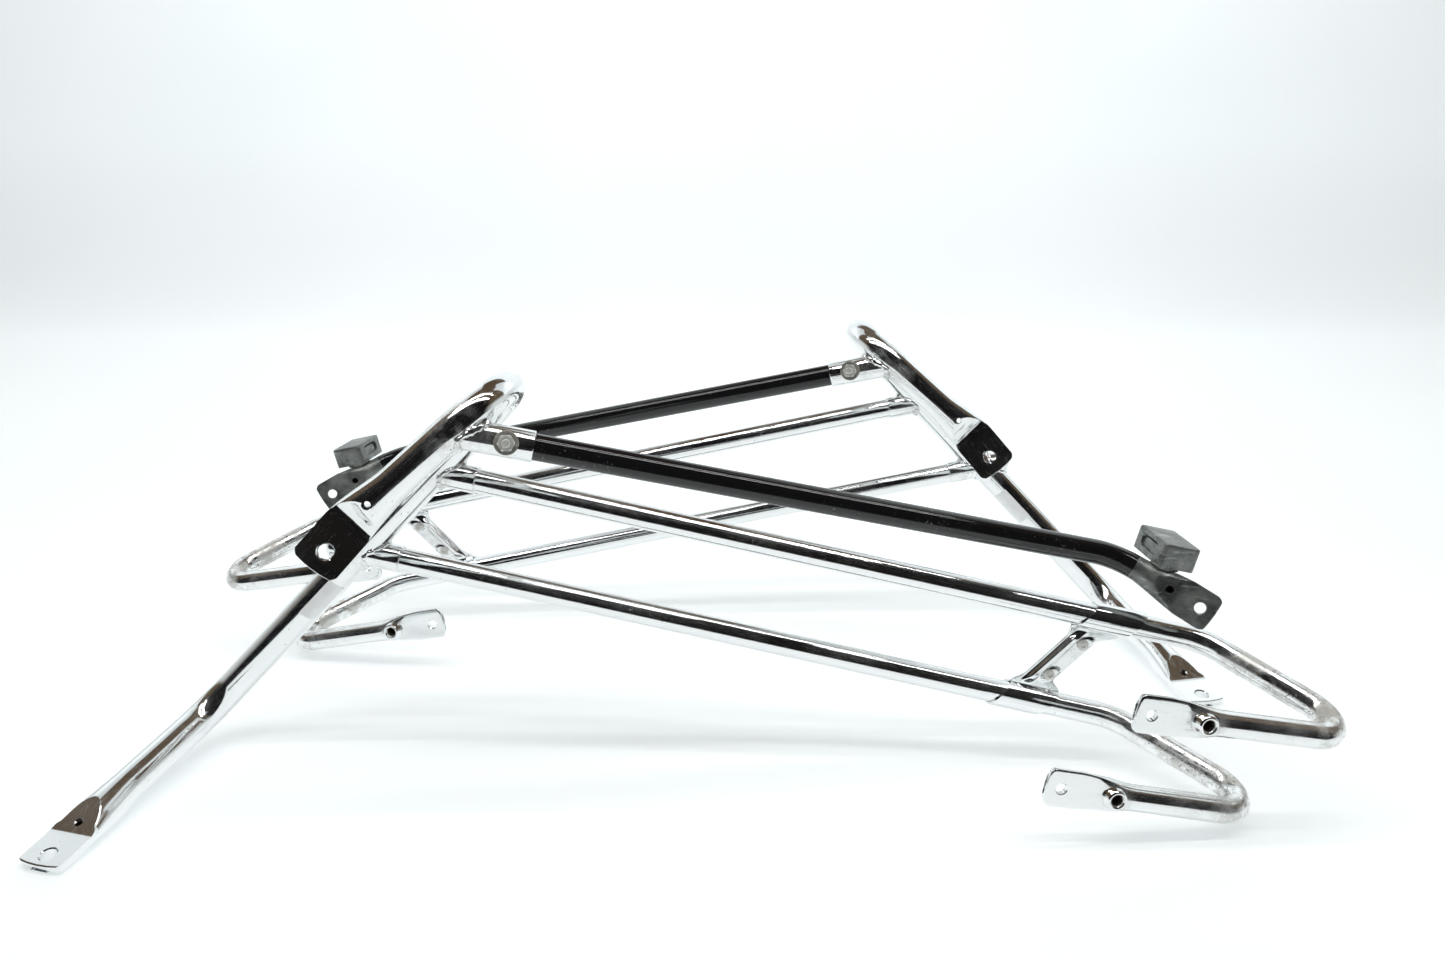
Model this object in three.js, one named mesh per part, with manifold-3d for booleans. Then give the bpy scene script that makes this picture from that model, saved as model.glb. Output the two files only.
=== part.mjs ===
// A pair of mirrored bag guard frames bent from steel tube, in millimetres with +Z up.
// Both stand on the floor at Z = 0. X runs along the rails, +Y points to the far frame.
import * as THREE from 'three';
import { mergeVertices } from 'three/addons/utils/BufferGeometryUtils.js';
import Module from 'manifold-3d';

const wasm = await Module();
wasm.setup();

// Tube sizes
const hoopTubeDia = 25.4;
const railTubeDia = 19;
const socketGap = 0.4;
const socketWall = 1.3;
const socketBore = railTubeDia + 2 * socketGap;
const socketDia = socketBore + 2 * socketWall;
const stubGap = 0.3;
const stubWall = 1;
const stubBore = railTubeDia + 2 * stubGap;
const stubDia = stubBore + 2 * stubWall;
const fitGap = 0.3;

// Hoop: a long leg with a kinked foot, a U bend and a short leg with a flattened tab
const legLean = 45.5;
const legSkew = 4;
const lowerJointHeight = 163;
const lowerJointX = -289;
const railSpacing = 91;
const legBelowLowerJoint = 188;
const legAboveUpperJoint = 96;
const kinkBend = 40;
const footLength = 180;
const footHeading = 255;
const footDrop = 8.6;
const hoopSpread = 92;
const hoopBend = 40;
const hoopTurnDrop = 12;
const shortLegLean = 41;
const shortLegLength = 132;
const tabBack = 42;
const tabDrop = 7;
const hoopTabWide = 35;
const hoopTabThick = 6.5;
const bigHoleDia = 11;
const smallHoleDia = 5;
const drainHoleDia = 3.4;
const footHoleInset = 11;
const footSmallHoleInset = 38;

// Rails: straight run, back arm, turn, front arm and flattened tab
const railRun = 613;
const railFall = 11.65;
const railYaw = -4.3;
const railStart = 22.5;
const backArmBend = 45;
const turnCorner = [91, -88, -37.2];
const turnBend = 22;
const frontArm = [-183, -17.6, 35.2];
const lowerTurnShift = [4, 0, 6];
const lowerArmShift = [2, 0, 4];
const railTabWide = 28;
const railTabThick = 4.5;
const railTabHole = 8;
const railTabHoleInset = 12;
const bushDia = 14;
const bushBore = 8;
const bushStand = 3.2;
const bushFromEnd = 51;

// Stubs and plug on the long leg, socket on the short leg
const stubReach = 34;
const plugReach = 27;
const socketFromTop = 37;
const socketReach = 57;
const socketBoltAt = 38;
const boltDia = 6;
const boltHeadRim = 3.3;
const nutHigh = 4.6;
const washerRim = 5.6;
const washerThick = 1.3;
const seatGap = 0.3;

// Support rail: heading, bend and flattened end, with the latch box on top
const supportYaw = 6.5;
const supportFall = 13;
const supportRun = 505;
const supportInset = 23.5;
const supportBend = 60;
const supportEnd = [63.7, -36.9, -34.2];
const supportWide = 29;
const supportThick = 5;
const supportHole = 9;
const latchSize = [29, 45, 20];
const latchWall = 2;
const latchBack = 54;
const latchSlot = [16, 8];

// Clamp link that joins the rails
const clampAt = 539;
const clampSleeve = 39;
const clampSheet = 1.8;
const clampWeb = [15, 7];
const clampScrewInset = 28;
const clampScrewDia = 5;
const clampHeadRim = 2.1;

// How the far frame stands behind the near one
const farTurn = -3.45;
const farOffset = [-27, 248.5];

const sides = 14;
const tabSquare = 8;
const V3 = (x, y, z) => new THREE.Vector3(x, y, z);
const radians = THREE.MathUtils.degToRad;
const up = V3(0, 0, 1);

// Unit vector from a heading about Z and an angle above the horizon, both in degrees.
function heading(yaw, rise) {
  const flat = Math.cos(radians(rise));
  return V3(flat * Math.cos(radians(yaw)), flat * Math.sin(radians(yaw)), Math.sin(radians(rise)));
}

function along(start, direction, distance) {
  return start.clone().addScaledVector(direction, distance);
}

// Rotation whose local Y runs along the given direction.
function aimed(direction, roll = up) {
  const y = direction.clone().normalize();
  const z = roll.clone().addScaledVector(y, -roll.dot(y)).normalize();
  const x = y.clone().cross(z);
  return new THREE.Matrix4().makeBasis(x, y, z);
}

function solid(geometry) {
  const bare = geometry.clone();
  bare.deleteAttribute('normal');
  bare.deleteAttribute('uv');
  const welded = mergeVertices(bare, 1e-4);
  const mesh = new wasm.Mesh({
    numProp: 3,
    vertProperties: new Float32Array(welded.attributes.position.array),
    triVerts: new Uint32Array(welded.index.array),
  });
  return new wasm.Manifold(mesh);
}

function surface(manifold) {
  const mesh = manifold.getMesh();
  const geometry = new THREE.BufferGeometry();
  geometry.setAttribute('position', new THREE.BufferAttribute(mesh.vertProperties, 3));
  geometry.setIndex(new THREE.BufferAttribute(mesh.triVerts, 1));
  return geometry;
}

function cut(geometry, ...tools) {
  let body = solid(geometry);
  for (const tool of tools) {
    body = body.subtract(solid(tool));
  }
  return surface(body);
}

function join(...geometries) {
  let body = solid(geometries[0]);
  for (const other of geometries.slice(1)) {
    body = body.add(solid(other));
  }
  return surface(body);
}

// Plain round bar from one point to another.
function bar(from, to, radius, count = sides) {
  const length = from.distanceTo(to);
  const geometry = new THREE.CylinderGeometry(radius, radius, length, count);
  const middle = from.clone().add(to).multiplyScalar(0.5);
  const matrix = aimed(to.clone().sub(from)).setPosition(middle);
  return geometry.applyMatrix4(matrix);
}

// Ring or sleeve with a bore, from one point to another.
function sleeve(from, to, outer, inner, count = 16) {
  const length = from.distanceTo(to);
  const profile = [
    new THREE.Vector2(inner, -length / 2),
    new THREE.Vector2(outer, -length / 2),
    new THREE.Vector2(outer, length / 2),
    new THREE.Vector2(inner, length / 2),
    new THREE.Vector2(inner, -length / 2),
  ];
  const middle = from.clone().add(to).multiplyScalar(0.5);
  const matrix = aimed(to.clone().sub(from)).setPosition(middle);
  return new THREE.LatheGeometry(profile, count).applyMatrix4(matrix);
}

// Centre line through corner points with rounded bends, as evenly turned stations.
function rounded(corners, step = 15) {
  const line = [corners[0].at.clone()];
  for (let i = 1; i < corners.length - 1; i++) {
    const here = corners[i].at;
    const back = corners[i - 1].at.clone().sub(here).normalize();
    const ahead = corners[i + 1].at.clone().sub(here).normalize();
    const turn = Math.PI - back.angleTo(ahead);
    const reach = corners[i].bend * Math.tan(turn / 2);
    const enter = along(here, back, reach);
    const middle = back.clone().add(ahead).normalize();
    const centre = along(here, middle, corners[i].bend / Math.cos(turn / 2));
    const axis = ahead.clone().cross(back).normalize();
    const count = Math.max(2, Math.round(turn / radians(step)));
    for (let k = 0; k <= count; k++) {
      const arm = enter.clone().sub(centre).applyAxisAngle(axis, (turn * k) / count);
      line.push(centre.clone().add(arm));
    }
  }
  line.push(corners[corners.length - 1].at.clone());
  return line;
}

function lengths(line) {
  const run = [0];
  for (let i = 1; i < line.length; i++) {
    run.push(run[i - 1] + line[i].distanceTo(line[i - 1]));
  }
  return run;
}

// Adds stations at the given distances from the start, so that a flattened end can change there.
function withStations(line, distances) {
  const run = lengths(line);
  const total = run[run.length - 1];
  const points = line.map((p, i) => ({ p, s: run[i] }));
  for (const wanted of distances) {
    const s = wanted < 0 ? total + wanted : wanted;
    if (points.some((q) => Math.abs(q.s - s) < 1.5)) {
      continue;
    }
    const i = run.findIndex((r) => r > s);
    const t = (s - run[i - 1]) / (run[i] - run[i - 1]);
    points.push({ p: line[i - 1].clone().lerp(line[i], t), s });
  }
  points.sort((a, b) => a.s - b.s);
  return points;
}

// A tube along a line of stations. section(s, total) gives half width, half depth, squareness and
// the direction of the width. The rings of a closed cylinder are laid on the stations.
function tube(points, section, count = sides) {
  const total = points[points.length - 1].s;
  const geometry = new THREE.CylinderGeometry(1, 1, 1, count, points.length - 1);
  const position = geometry.attributes.position;
  const shift = count % 4 === 0 ? 0.5 : 0;
  const rings = points.map((point, i) => {
    const before = points[Math.max(0, i - 1)].p;
    const after = points[Math.min(points.length - 1, i + 1)].p;
    const tangent = after.clone().sub(before).normalize();
    if (i > 0 && i < points.length - 1) {
      const inward = point.p.clone().sub(before).normalize();
      const outward = after.clone().sub(point.p).normalize();
      tangent.copy(inward).add(outward).normalize();
    }
    const shape = section(point.s, total);
    const wide = shape.wide.clone().addScaledVector(tangent, -shape.wide.dot(tangent)).normalize();
    const thin = wide.clone().cross(tangent);
    return { at: point.p, wide, thin, shape };
  });
  for (let i = 0; i < position.count; i++) {
    const ring = rings[Math.round((position.getY(i) + 0.5) * (points.length - 1))];
    const x = position.getX(i);
    const z = position.getZ(i);
    const radial = Math.min(1, Math.hypot(x, z));
    const turn = Math.round((Math.atan2(z, x) / (2 * Math.PI)) * count);
    const angle = ((((turn + count) % count) + shift) / count) * 2 * Math.PI;
    const power = 2 / ring.shape.square;
    const c = Math.cos(angle);
    const s = Math.sin(angle);
    const w = radial * ring.shape.a * Math.sign(c) * Math.pow(Math.abs(c) + 1e-12, power);
    const t = radial * ring.shape.b * Math.sign(s) * Math.pow(Math.abs(s) + 1e-12, power);
    const point = along(along(ring.at, ring.wide, w), ring.thin, t);
    position.setXYZ(i, point.x, point.y, point.z);
  }
  return geometry;
}

// Section of a round tube that ends in a flat tab. near is the distance from the tab's end.
function flattened(radius, near, tab) {
  const t = THREE.MathUtils.smoothstep(near, tab.flat, tab.flat + tab.blend);
  const nose = near < tab.nose ? Math.sqrt(1 - Math.pow(1 - near / tab.nose, 2) * tab.round) : 1;
  return {
    a: THREE.MathUtils.lerp((tab.wideSize / 2) * nose, radius, t),
    b: THREE.MathUtils.lerp(tab.thick / 2, radius, t),
    square: THREE.MathUtils.lerp(tabSquare, 2, t),
  };
}

const tabStops = (tab) => [tab.nose * 0.3, tab.nose, tab.flat, tab.flat + tab.blend * 0.3,
  tab.flat + tab.blend * 0.6, tab.flat + tab.blend];

// Places a flat outline so that its face lies on a plane: x and y in the plane, z along the normal.
function plate(shape, depth, origin, xAxis, yAxis, options = {}) {
  const geometry = new THREE.ExtrudeGeometry(shape, { depth, bevelEnabled: false, steps: 1,
    curveSegments: options.curve ?? 6 });
  const zAxis = xAxis.clone().cross(yAxis).normalize();
  const matrix = new THREE.Matrix4().makeBasis(xAxis, yAxis, zAxis).setPosition(origin);
  return geometry.applyMatrix4(matrix);
}

const chrome = new THREE.MeshStandardMaterial({ color: 0xd9dcde, roughness: 0.08, metalness: 1 });
const zinc = new THREE.MeshStandardMaterial({ color: 0xa9aaa6, roughness: 0.4, metalness: 1 });
const blackPaint = new THREE.MeshStandardMaterial({ color: 0x0c0c0d, roughness: 0.2, metalness: 0 });
const bareSteel = new THREE.MeshStandardMaterial({ color: 0x5c5e5e, roughness: 0.5, metalness: 1 });

// Where the tubes run in the near frame
const legUp = heading(legSkew, legLean);
const lowerJoint = V3(lowerJointX, 0, lowerJointHeight);
const upperJoint = along(lowerJoint, legUp, railSpacing);
const railDirection = heading(railYaw, -railFall);
const spacing = upperJoint.clone().sub(lowerJoint);
const kink = along(lowerJoint, legUp, -legBelowLowerJoint);
const footDirection = heading(footHeading, -footDrop);
const footEnd = along(kink, footDirection, footLength);
const longTop = along(upperJoint, legUp, legAboveUpperJoint);
const shortTop = longTop.clone().add(V3(0, -hoopSpread, hoopTurnDrop));
const shortDown = heading(180 + legSkew, -shortLegLean);
const shortEnd = along(shortTop, shortDown, shortLegLength);
const tabDirection = heading(180 + 18, -46);
const tabEnd = along(shortEnd, tabDirection, tabBack).add(V3(0, -tabDrop, 0));
const hoopNormal = legUp.clone().cross(V3(0, -1, 0)).normalize();

function hoopGeometry(extra = 0) {
  const foot = { wideSize: hoopTabWide, thick: hoopTabThick, nose: 5, round: 0.3, flat: 34, blend: 50 };
  const tab = { wideSize: hoopTabWide, thick: hoopTabThick, nose: 9, round: 0.45, flat: 34, blend: 46 };
  const corners = [
    { at: footEnd },
    { at: kink, bend: kinkBend },
    { at: longTop, bend: hoopBend },
    { at: shortTop, bend: hoopBend },
    { at: shortEnd, bend: 60 },
    { at: tabEnd },
  ];
  const stops = [...tabStops(foot), ...tabStops(tab).map((s) => -s)];
  const points = withStations(rounded(corners), stops);
  const flatWide = V3(0, 0, 1).cross(footDirection).normalize();
  const section = (s, total) => {
    const atFoot = s < total / 2;
    const shape = flattened(hoopTubeDia / 2, atFoot ? s : total - s, atFoot ? foot : tab);
    const wide = atFoot && s < 150 ? flatWide : hoopNormal.clone().negate();
    return { ...shape, a: shape.a + extra, b: shape.b + extra, wide };
  };
  const body = tube(points, section);
  if (extra > 0) {
    return body;
  }
  const tools = [];
  const holeAt = (end, direction, normal, inset, dia) => {
    const at = along(end, direction, -inset);
    tools.push(bar(along(at, normal, 40), along(at, normal, -40), dia / 2, 12));
  };
  const footNormal = footDirection.clone().cross(flatWide).normalize();
  holeAt(footEnd, footDirection, footNormal, footHoleInset, bigHoleDia);
  holeAt(footEnd, footDirection, footNormal, footSmallHoleInset, smallHoleDia);
  const tabRun = tabEnd.clone().sub(shortEnd).normalize();
  const tabNormal = tabRun.clone().cross(hoopNormal).normalize();
  holeAt(tabEnd, tabRun, tabNormal, 15, bigHoleDia);
  holeAt(shortEnd, tabRun, tabNormal, 14, smallHoleDia);
  const drain = along(shortTop, shortDown, 98);
  const out = hoopNormal.clone().negate();
  tools.push(bar(drain, along(drain, out, 20), drainHoleDia / 2, 8));
  return cut(body, ...tools);
}

const hoopClearance = hoopGeometry(fitGap + 0.1);

function railLine(joint) {
  const bend = along(joint, railDirection, railRun);
  const turn = bend.clone().add(V3(...turnCorner));
  const end = turn.clone().add(V3(...frontArm));
  if (joint === lowerJoint) {
    turn.add(V3(...lowerTurnShift));
    end.add(V3(...lowerTurnShift)).add(V3(...lowerArmShift));
  }
  return { start: along(joint, railDirection, railStart), bend, turn, end };
}

function armFrame(joint) {
  const line = railLine(joint);
  const arm = line.end.clone().sub(line.turn).normalize();
  const out = V3(0, -1, 0.12);
  const normal = out.addScaledVector(arm, -out.dot(arm)).normalize();
  return { ...line, arm, normal, wide: normal.clone().cross(arm).normalize() };
}

function railGeometry(joint) {
  const frame = armFrame(joint);
  const tab = { wideSize: railTabWide, thick: railTabThick, nose: 6, round: 0.4, flat: 28, blend: 20 };
  const corners = [
    { at: frame.start },
    { at: frame.bend, bend: backArmBend },
    { at: frame.turn, bend: turnBend },
    { at: frame.end },
  ];
  const points = withStations(rounded(corners), tabStops(tab).map((s) => -s));
  const body = tube(points, (s, total) => ({
    ...flattened(railTubeDia / 2, total - s, tab), wide: frame.wide,
  }), 12);
  const hole = along(frame.end, frame.arm, -railTabHoleInset);
  const tool = bar(along(hole, frame.normal, 20), along(hole, frame.normal, -20),
    railTabHole / 2, 12);
  return cut(body, tool, hoopClearance);
}

// Threaded bush that stands on the front arm, beside the tab.
function bushGeometry(joint) {
  const frame = armFrame(joint);
  const at = along(frame.end, frame.arm, -bushFromEnd);
  const seat = along(at, frame.normal, railTubeDia / 2 - 2.2);
  const top = along(at, frame.normal, railTubeDia / 2 + bushStand);
  const ring = sleeve(seat, top, bushDia / 2, bushBore / 2, 14);
  const arm = bar(along(at, frame.arm, -20), along(at, frame.arm, 20), railTubeDia / 2 + fitGap, 32);
  return cut(ring, arm);
}

function stubGeometry(joint) {
  const body = sleeve(joint, along(joint, railDirection, stubReach), stubDia / 2, stubBore / 2, 16);
  return cut(body, hoopClearance);
}

// Domed plug on the outside of the long leg, in line with the lower stub.
function plugGeometry() {
  const radius = stubDia / 2;
  const profile = [new THREE.Vector2(0, 0), new THREE.Vector2(radius, 0)];
  for (let i = 0; i <= 4; i++) {
    const angle = (i / 4) * (Math.PI / 2);
    const r = i === 4 ? 0 : radius * Math.cos(angle);
    profile.push(new THREE.Vector2(r, plugReach - 7 + 7 * Math.sin(angle)));
  }
  const back = railDirection.clone().negate();
  const body = new THREE.LatheGeometry(profile, 16).applyMatrix4(aimed(back).setPosition(lowerJoint));
  return cut(body, hoopClearance);
}

const supportDirection = heading(supportYaw, -supportFall);
const socketStart = along(shortTop, shortDown, socketFromTop);
const boltSide = V3(0, -1, 0.25);
const boltAxis = boltSide.addScaledVector(supportDirection, -boltSide.dot(supportDirection)).normalize();
const boltPoint = along(socketStart, supportDirection, socketBoltAt);

function boltBore(extra) {
  return bar(along(boltPoint, boltAxis, 20), along(boltPoint, boltAxis, -20),
    boltDia / 2 + extra, 12);
}

function socketGeometry() {
  const body = sleeve(socketStart, along(socketStart, supportDirection, socketReach),
    socketDia / 2, socketBore / 2, 16);
  return cut(body, hoopClearance, boltBore(fitGap));
}

// Bolt from behind, with its nut and washer on the outer side.
function boltGeometry() {
  const reach = socketDia / 2;
  const shank = bar(along(boltPoint, boltAxis, -reach - 1), along(boltPoint, boltAxis, reach + 8),
    boltDia / 2, 12);
  const head = bar(along(boltPoint, boltAxis, -reach - nutHigh), along(boltPoint, boltAxis, -reach - 0.4),
    boltDia / 2 + boltHeadRim, 6);
  return join(shank, head);
}

function washerGeometry() {
  const base = along(boltPoint, boltAxis, socketDia / 2 + seatGap);
  return sleeve(base, along(base, boltAxis, washerThick), boltDia / 2 + washerRim,
    boltDia / 2 + fitGap, 16);
}

function nutGeometry() {
  const base = along(boltPoint, boltAxis, socketDia / 2 + 2 * seatGap + washerThick);
  const body = bar(base, along(base, boltAxis, nutHigh), boltDia / 2 + boltHeadRim, 6);
  return cut(body, boltBore(fitGap));
}

const supportKnee = along(socketStart, supportDirection, supportRun);
const supportTip = supportKnee.clone().add(V3(...supportEnd));
const supportArm = supportTip.clone().sub(supportKnee).normalize();
const supportOut = V3(0, -1, 0.1);
const supportNormal = supportOut.addScaledVector(supportArm, -supportOut.dot(supportArm)).normalize();
const supportWidth = supportNormal.clone().cross(supportArm).normalize();

function supportGeometry() {
  const tab = { wideSize: supportWide, thick: supportThick, nose: 6, round: 0.4, flat: 34, blend: 26 };
  const corners = [
    { at: along(socketStart, supportDirection, supportInset) },
    { at: supportKnee, bend: supportBend },
    { at: supportTip },
  ];
  const points = withStations(rounded(corners), tabStops(tab).map((s) => -s));
  const body = tube(points, (s, total) => ({
    ...flattened(railTubeDia / 2, total - s, tab), wide: supportWidth,
  }), 12);
  const tools = [boltBore(fitGap), hoopClearance];
  for (const [inset, dia] of [[11, supportHole], [36, 6]]) {
    const at = along(supportTip, supportArm, -inset);
    tools.push(bar(along(at, supportNormal, 20), along(at, supportNormal, -20), dia / 2, 10));
  }
  return cut(body, ...tools);
}

// Folded sheet box, open underneath, with a slot in the end that faces the hoop.
function latchGeometry() {
  const [long, deep, high] = latchSize;
  const along1 = heading(supportYaw - 3, -supportFall);
  const across = up.clone().cross(along1).normalize();
  const rise = along1.clone().cross(across).normalize();
  const top = along(supportTip, supportArm, -latchBack);
  const base = along(top, rise, railTubeDia / 2 + 1.5);
  const box = (x, y, z, size) => {
    const geometry = new THREE.BoxGeometry(...size);
    const matrix = new THREE.Matrix4().makeBasis(along1, across, rise);
    const at = along(along(along(base, along1, x), across, y), rise, z);
    return geometry.applyMatrix4(matrix.setPosition(at));
  };
  const shell = box(long / 2, deep / 2 - 9, high / 2, [long, deep, high]);
  const inner = box(long / 2, deep / 2 - 9, high / 2 - latchWall,
    [long - 2 * latchWall, deep - 2 * latchWall, high]);
  const slot = new THREE.Shape();
  const [wide, tall] = latchSlot;
  slot.absarc(-wide / 2 + tall / 2, 0, tall / 2, Math.PI / 2, Math.PI * 1.5, false);
  slot.absarc(wide / 2 - tall / 2, 0, tall / 2, -Math.PI / 2, Math.PI / 2, false);
  const slotAt = along(along(along(base, along1, -8), across, deep / 2 - 13), rise, high * 0.52);
  const tool = plate(slot, 16, slotAt, across, rise, { curve: 5 });
  return cut(shell, inner, tool);
}

// Clamp link: two stamped shells around both rails, joined by two screws.
const clampUp = spacing.clone().normalize();
const clampOut = railDirection.clone().cross(clampUp).normalize();
const clampIn = clampOut.clone().cross(railDirection).normalize();
const clampLower = along(lowerJoint, railDirection, clampAt);
const clampSlope = railDirection.dot(clampUp) / clampIn.dot(clampUp);
const clampPitch = spacing.dot(clampIn);

function clampShell(side) {
  const basis = new THREE.Matrix4().makeBasis(railDirection, clampIn,
    clampOut).setPosition(clampLower);
  const inner = railTubeDia / 2 + fitGap;
  const outer = inner + clampSheet;
  const half = (level) => {
    const ring = new THREE.Shape();
    ring.absarc(0, 0, outer, 0.05, Math.PI - 0.05, false);
    ring.absarc(0, 0, inner, Math.PI - 0.05, 0.05, true);
    const body = new THREE.ExtrudeGeometry(ring, { depth: clampSleeve, bevelEnabled: false,
      steps: 1, curveSegments: 8 });
    const position = body.attributes.position;
    for (let i = 0; i < position.count; i++) {
      const b = position.getX(i);
      const c = position.getY(i);
      const a = position.getZ(i) - clampSleeve / 2;
      const lift = b + level;
      position.setXYZ(i, a + lift * clampSlope, lift, c);
    }
    return body;
  };
  const web = new THREE.Shape();
  const low = inner + 0.4;
  const high = clampPitch - inner - 0.4;
  const [before, behind] = clampWeb;
  web.moveTo(low * clampSlope - before - 3, low);
  web.lineTo(low * clampSlope + behind + 6, low);
  web.lineTo((low + 10) * clampSlope + behind, low + 10);
  web.lineTo((high - 10) * clampSlope + behind, high - 10);
  web.lineTo(high * clampSlope + behind + 6, high);
  web.lineTo(high * clampSlope - before - 3, high);
  web.lineTo((high - 8) * clampSlope - before, high - 8);
  web.lineTo((low + 8) * clampSlope - before, low + 8);
  web.closePath();
  const sheet = new THREE.ExtrudeGeometry(web, { depth: clampSheet, bevelEnabled: false, steps: 1 });
  sheet.translate(0, 0, 0.3);
  const flip = (geometry) => {
    if (side > 0) {
      return geometry;
    }
    geometry.scale(1, 1, -1);
    return turned(geometry);
  };
  const parts = [half(0), half(clampPitch), sheet];
  const body = join(...parts.map((part) => flip(part.clone()).applyMatrix4(basis)));
  return cut(body, ...clampScrewPoints().map((point) => bar(along(point, clampOut, 12),
    along(point, clampOut, -12), clampScrewDia / 2 + fitGap, 12)));
}

function clampScrewPoints() {
  return [clampScrewInset, railSpacing - clampScrewInset].map((s) => along(clampLower, clampUp, s));
}

// Reverses the triangles of a mirrored geometry so that its faces point out again.
function turned(geometry) {
  const plain = geometry.index ? geometry.toNonIndexed() : geometry;
  const position = plain.attributes.position;
  for (let i = 0; i < position.count; i += 3) {
    const a = V3().fromBufferAttribute(position, i + 1);
    const b = V3().fromBufferAttribute(position, i + 2);
    position.setXYZ(i + 1, b.x, b.y, b.z);
    position.setXYZ(i + 2, a.x, a.y, a.z);
  }
  return plain;
}

function screwGeometry(point) {
  const face = clampSheet + 0.3;
  const shank = bar(along(point, clampOut, -face - 3.6), along(point, clampOut, face + 1),
    clampScrewDia / 2, 10);
  const head = bar(along(point, clampOut, face + 0.3), along(point, clampOut, face + 3.4),
    clampScrewDia / 2 + clampHeadRim, 12);
  const key = bar(along(point, clampOut, face + 1.6), along(point, clampOut, face + 6), 1.8, 6);
  return cut(join(shank, head), key);
}

function screwNutGeometry(point) {
  const face = clampSheet + 0.3;
  const body = bar(along(point, clampOut, -face - 0.3), along(point, clampOut, -face - 3.3),
    clampScrewDia / 2 + clampHeadRim, 6);
  const bore = bar(along(point, clampOut, 12), along(point, clampOut, -12),
    clampScrewDia / 2 + fitGap, 10);
  return cut(body, bore);
}

const [lowScrew, highScrew] = clampScrewPoints();
const pieces = [
  ['hoop', hoopGeometry(), chrome],
  ['upper_stub', stubGeometry(upperJoint), chrome],
  ['lower_stub', stubGeometry(lowerJoint), chrome],
  ['stub_plug', plugGeometry(), chrome],
  ['upper_rail', railGeometry(upperJoint), chrome],
  ['lower_rail', railGeometry(lowerJoint), chrome],
  ['upper_bush', bushGeometry(upperJoint), bareSteel],
  ['lower_bush', bushGeometry(lowerJoint), bareSteel],
  ['clamp_front', clampShell(1), chrome],
  ['clamp_back', clampShell(-1), chrome],
  ['clamp_screw_low', screwGeometry(lowScrew), zinc],
  ['clamp_screw_high', screwGeometry(highScrew), zinc],
  ['clamp_nut_low', screwNutGeometry(lowScrew), zinc],
  ['clamp_nut_high', screwNutGeometry(highScrew), zinc],
  ['socket', socketGeometry(), chrome],
  ['socket_bolt', boltGeometry(), zinc],
  ['socket_washer', washerGeometry(), zinc],
  ['socket_nut', nutGeometry(), zinc],
  ['support_rail', supportGeometry(), blackPaint],
  ['latch_box', latchGeometry(), bareSteel],
];

const pair = new THREE.Group();
const nearFrame = new THREE.Group();
const farFrame = new THREE.Group();
for (const [name, geometry, material] of pieces) {
  const nearPiece = new THREE.Mesh(geometry, material);
  nearPiece.name = `near_${name}`;
  nearFrame.add(nearPiece);
  const mirrored = turned(geometry.clone().scale(-1, 1, 1));
  const farPiece = new THREE.Mesh(mirrored, material);
  farPiece.name = `far_${name}`;
  farFrame.add(farPiece);
}
farFrame.position.set(farOffset[0], farOffset[1], 0);
farFrame.rotation.z = radians(farTurn);
pair.add(nearFrame, farFrame);

// The origin is on the floor, at the middle of the pair.
const extent = new THREE.Box3().setFromObject(pair, true);
const middle = extent.getCenter(V3());
pair.position.set(-middle.x, -middle.y, -extent.min.z);

export default pair;
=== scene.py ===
import math

import bmesh
import bpy
from mathutils import Matrix, Vector, noise


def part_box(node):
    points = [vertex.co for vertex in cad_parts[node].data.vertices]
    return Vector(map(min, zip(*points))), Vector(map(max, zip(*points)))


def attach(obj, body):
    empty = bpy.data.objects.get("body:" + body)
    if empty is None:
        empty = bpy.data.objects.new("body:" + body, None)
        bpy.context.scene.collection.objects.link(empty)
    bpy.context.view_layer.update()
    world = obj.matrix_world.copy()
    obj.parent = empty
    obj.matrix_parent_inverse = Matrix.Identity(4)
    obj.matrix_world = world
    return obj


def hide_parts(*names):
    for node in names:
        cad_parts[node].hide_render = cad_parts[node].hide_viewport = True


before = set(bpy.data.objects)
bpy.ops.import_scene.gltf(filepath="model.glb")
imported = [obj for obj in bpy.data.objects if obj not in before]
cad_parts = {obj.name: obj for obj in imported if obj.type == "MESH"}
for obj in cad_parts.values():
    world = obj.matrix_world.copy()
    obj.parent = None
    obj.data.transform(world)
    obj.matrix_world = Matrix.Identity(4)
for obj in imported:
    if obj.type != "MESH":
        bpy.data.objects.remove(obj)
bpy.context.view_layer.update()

# Lengths below are millimetres in the near frame's own space. placePair() turns them into metres
# and makes the mirrored far piece; the stage further down is in metres from the start.
up = Vector((0, 0, 1))
toMetres = 0.001


def heading(yaw, rise):  # direction from two angles in degrees
    flat = math.cos(math.radians(rise))
    return Vector((flat * math.cos(math.radians(yaw)), flat * math.sin(math.radians(yaw)),
                   math.sin(math.radians(rise))))


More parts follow.
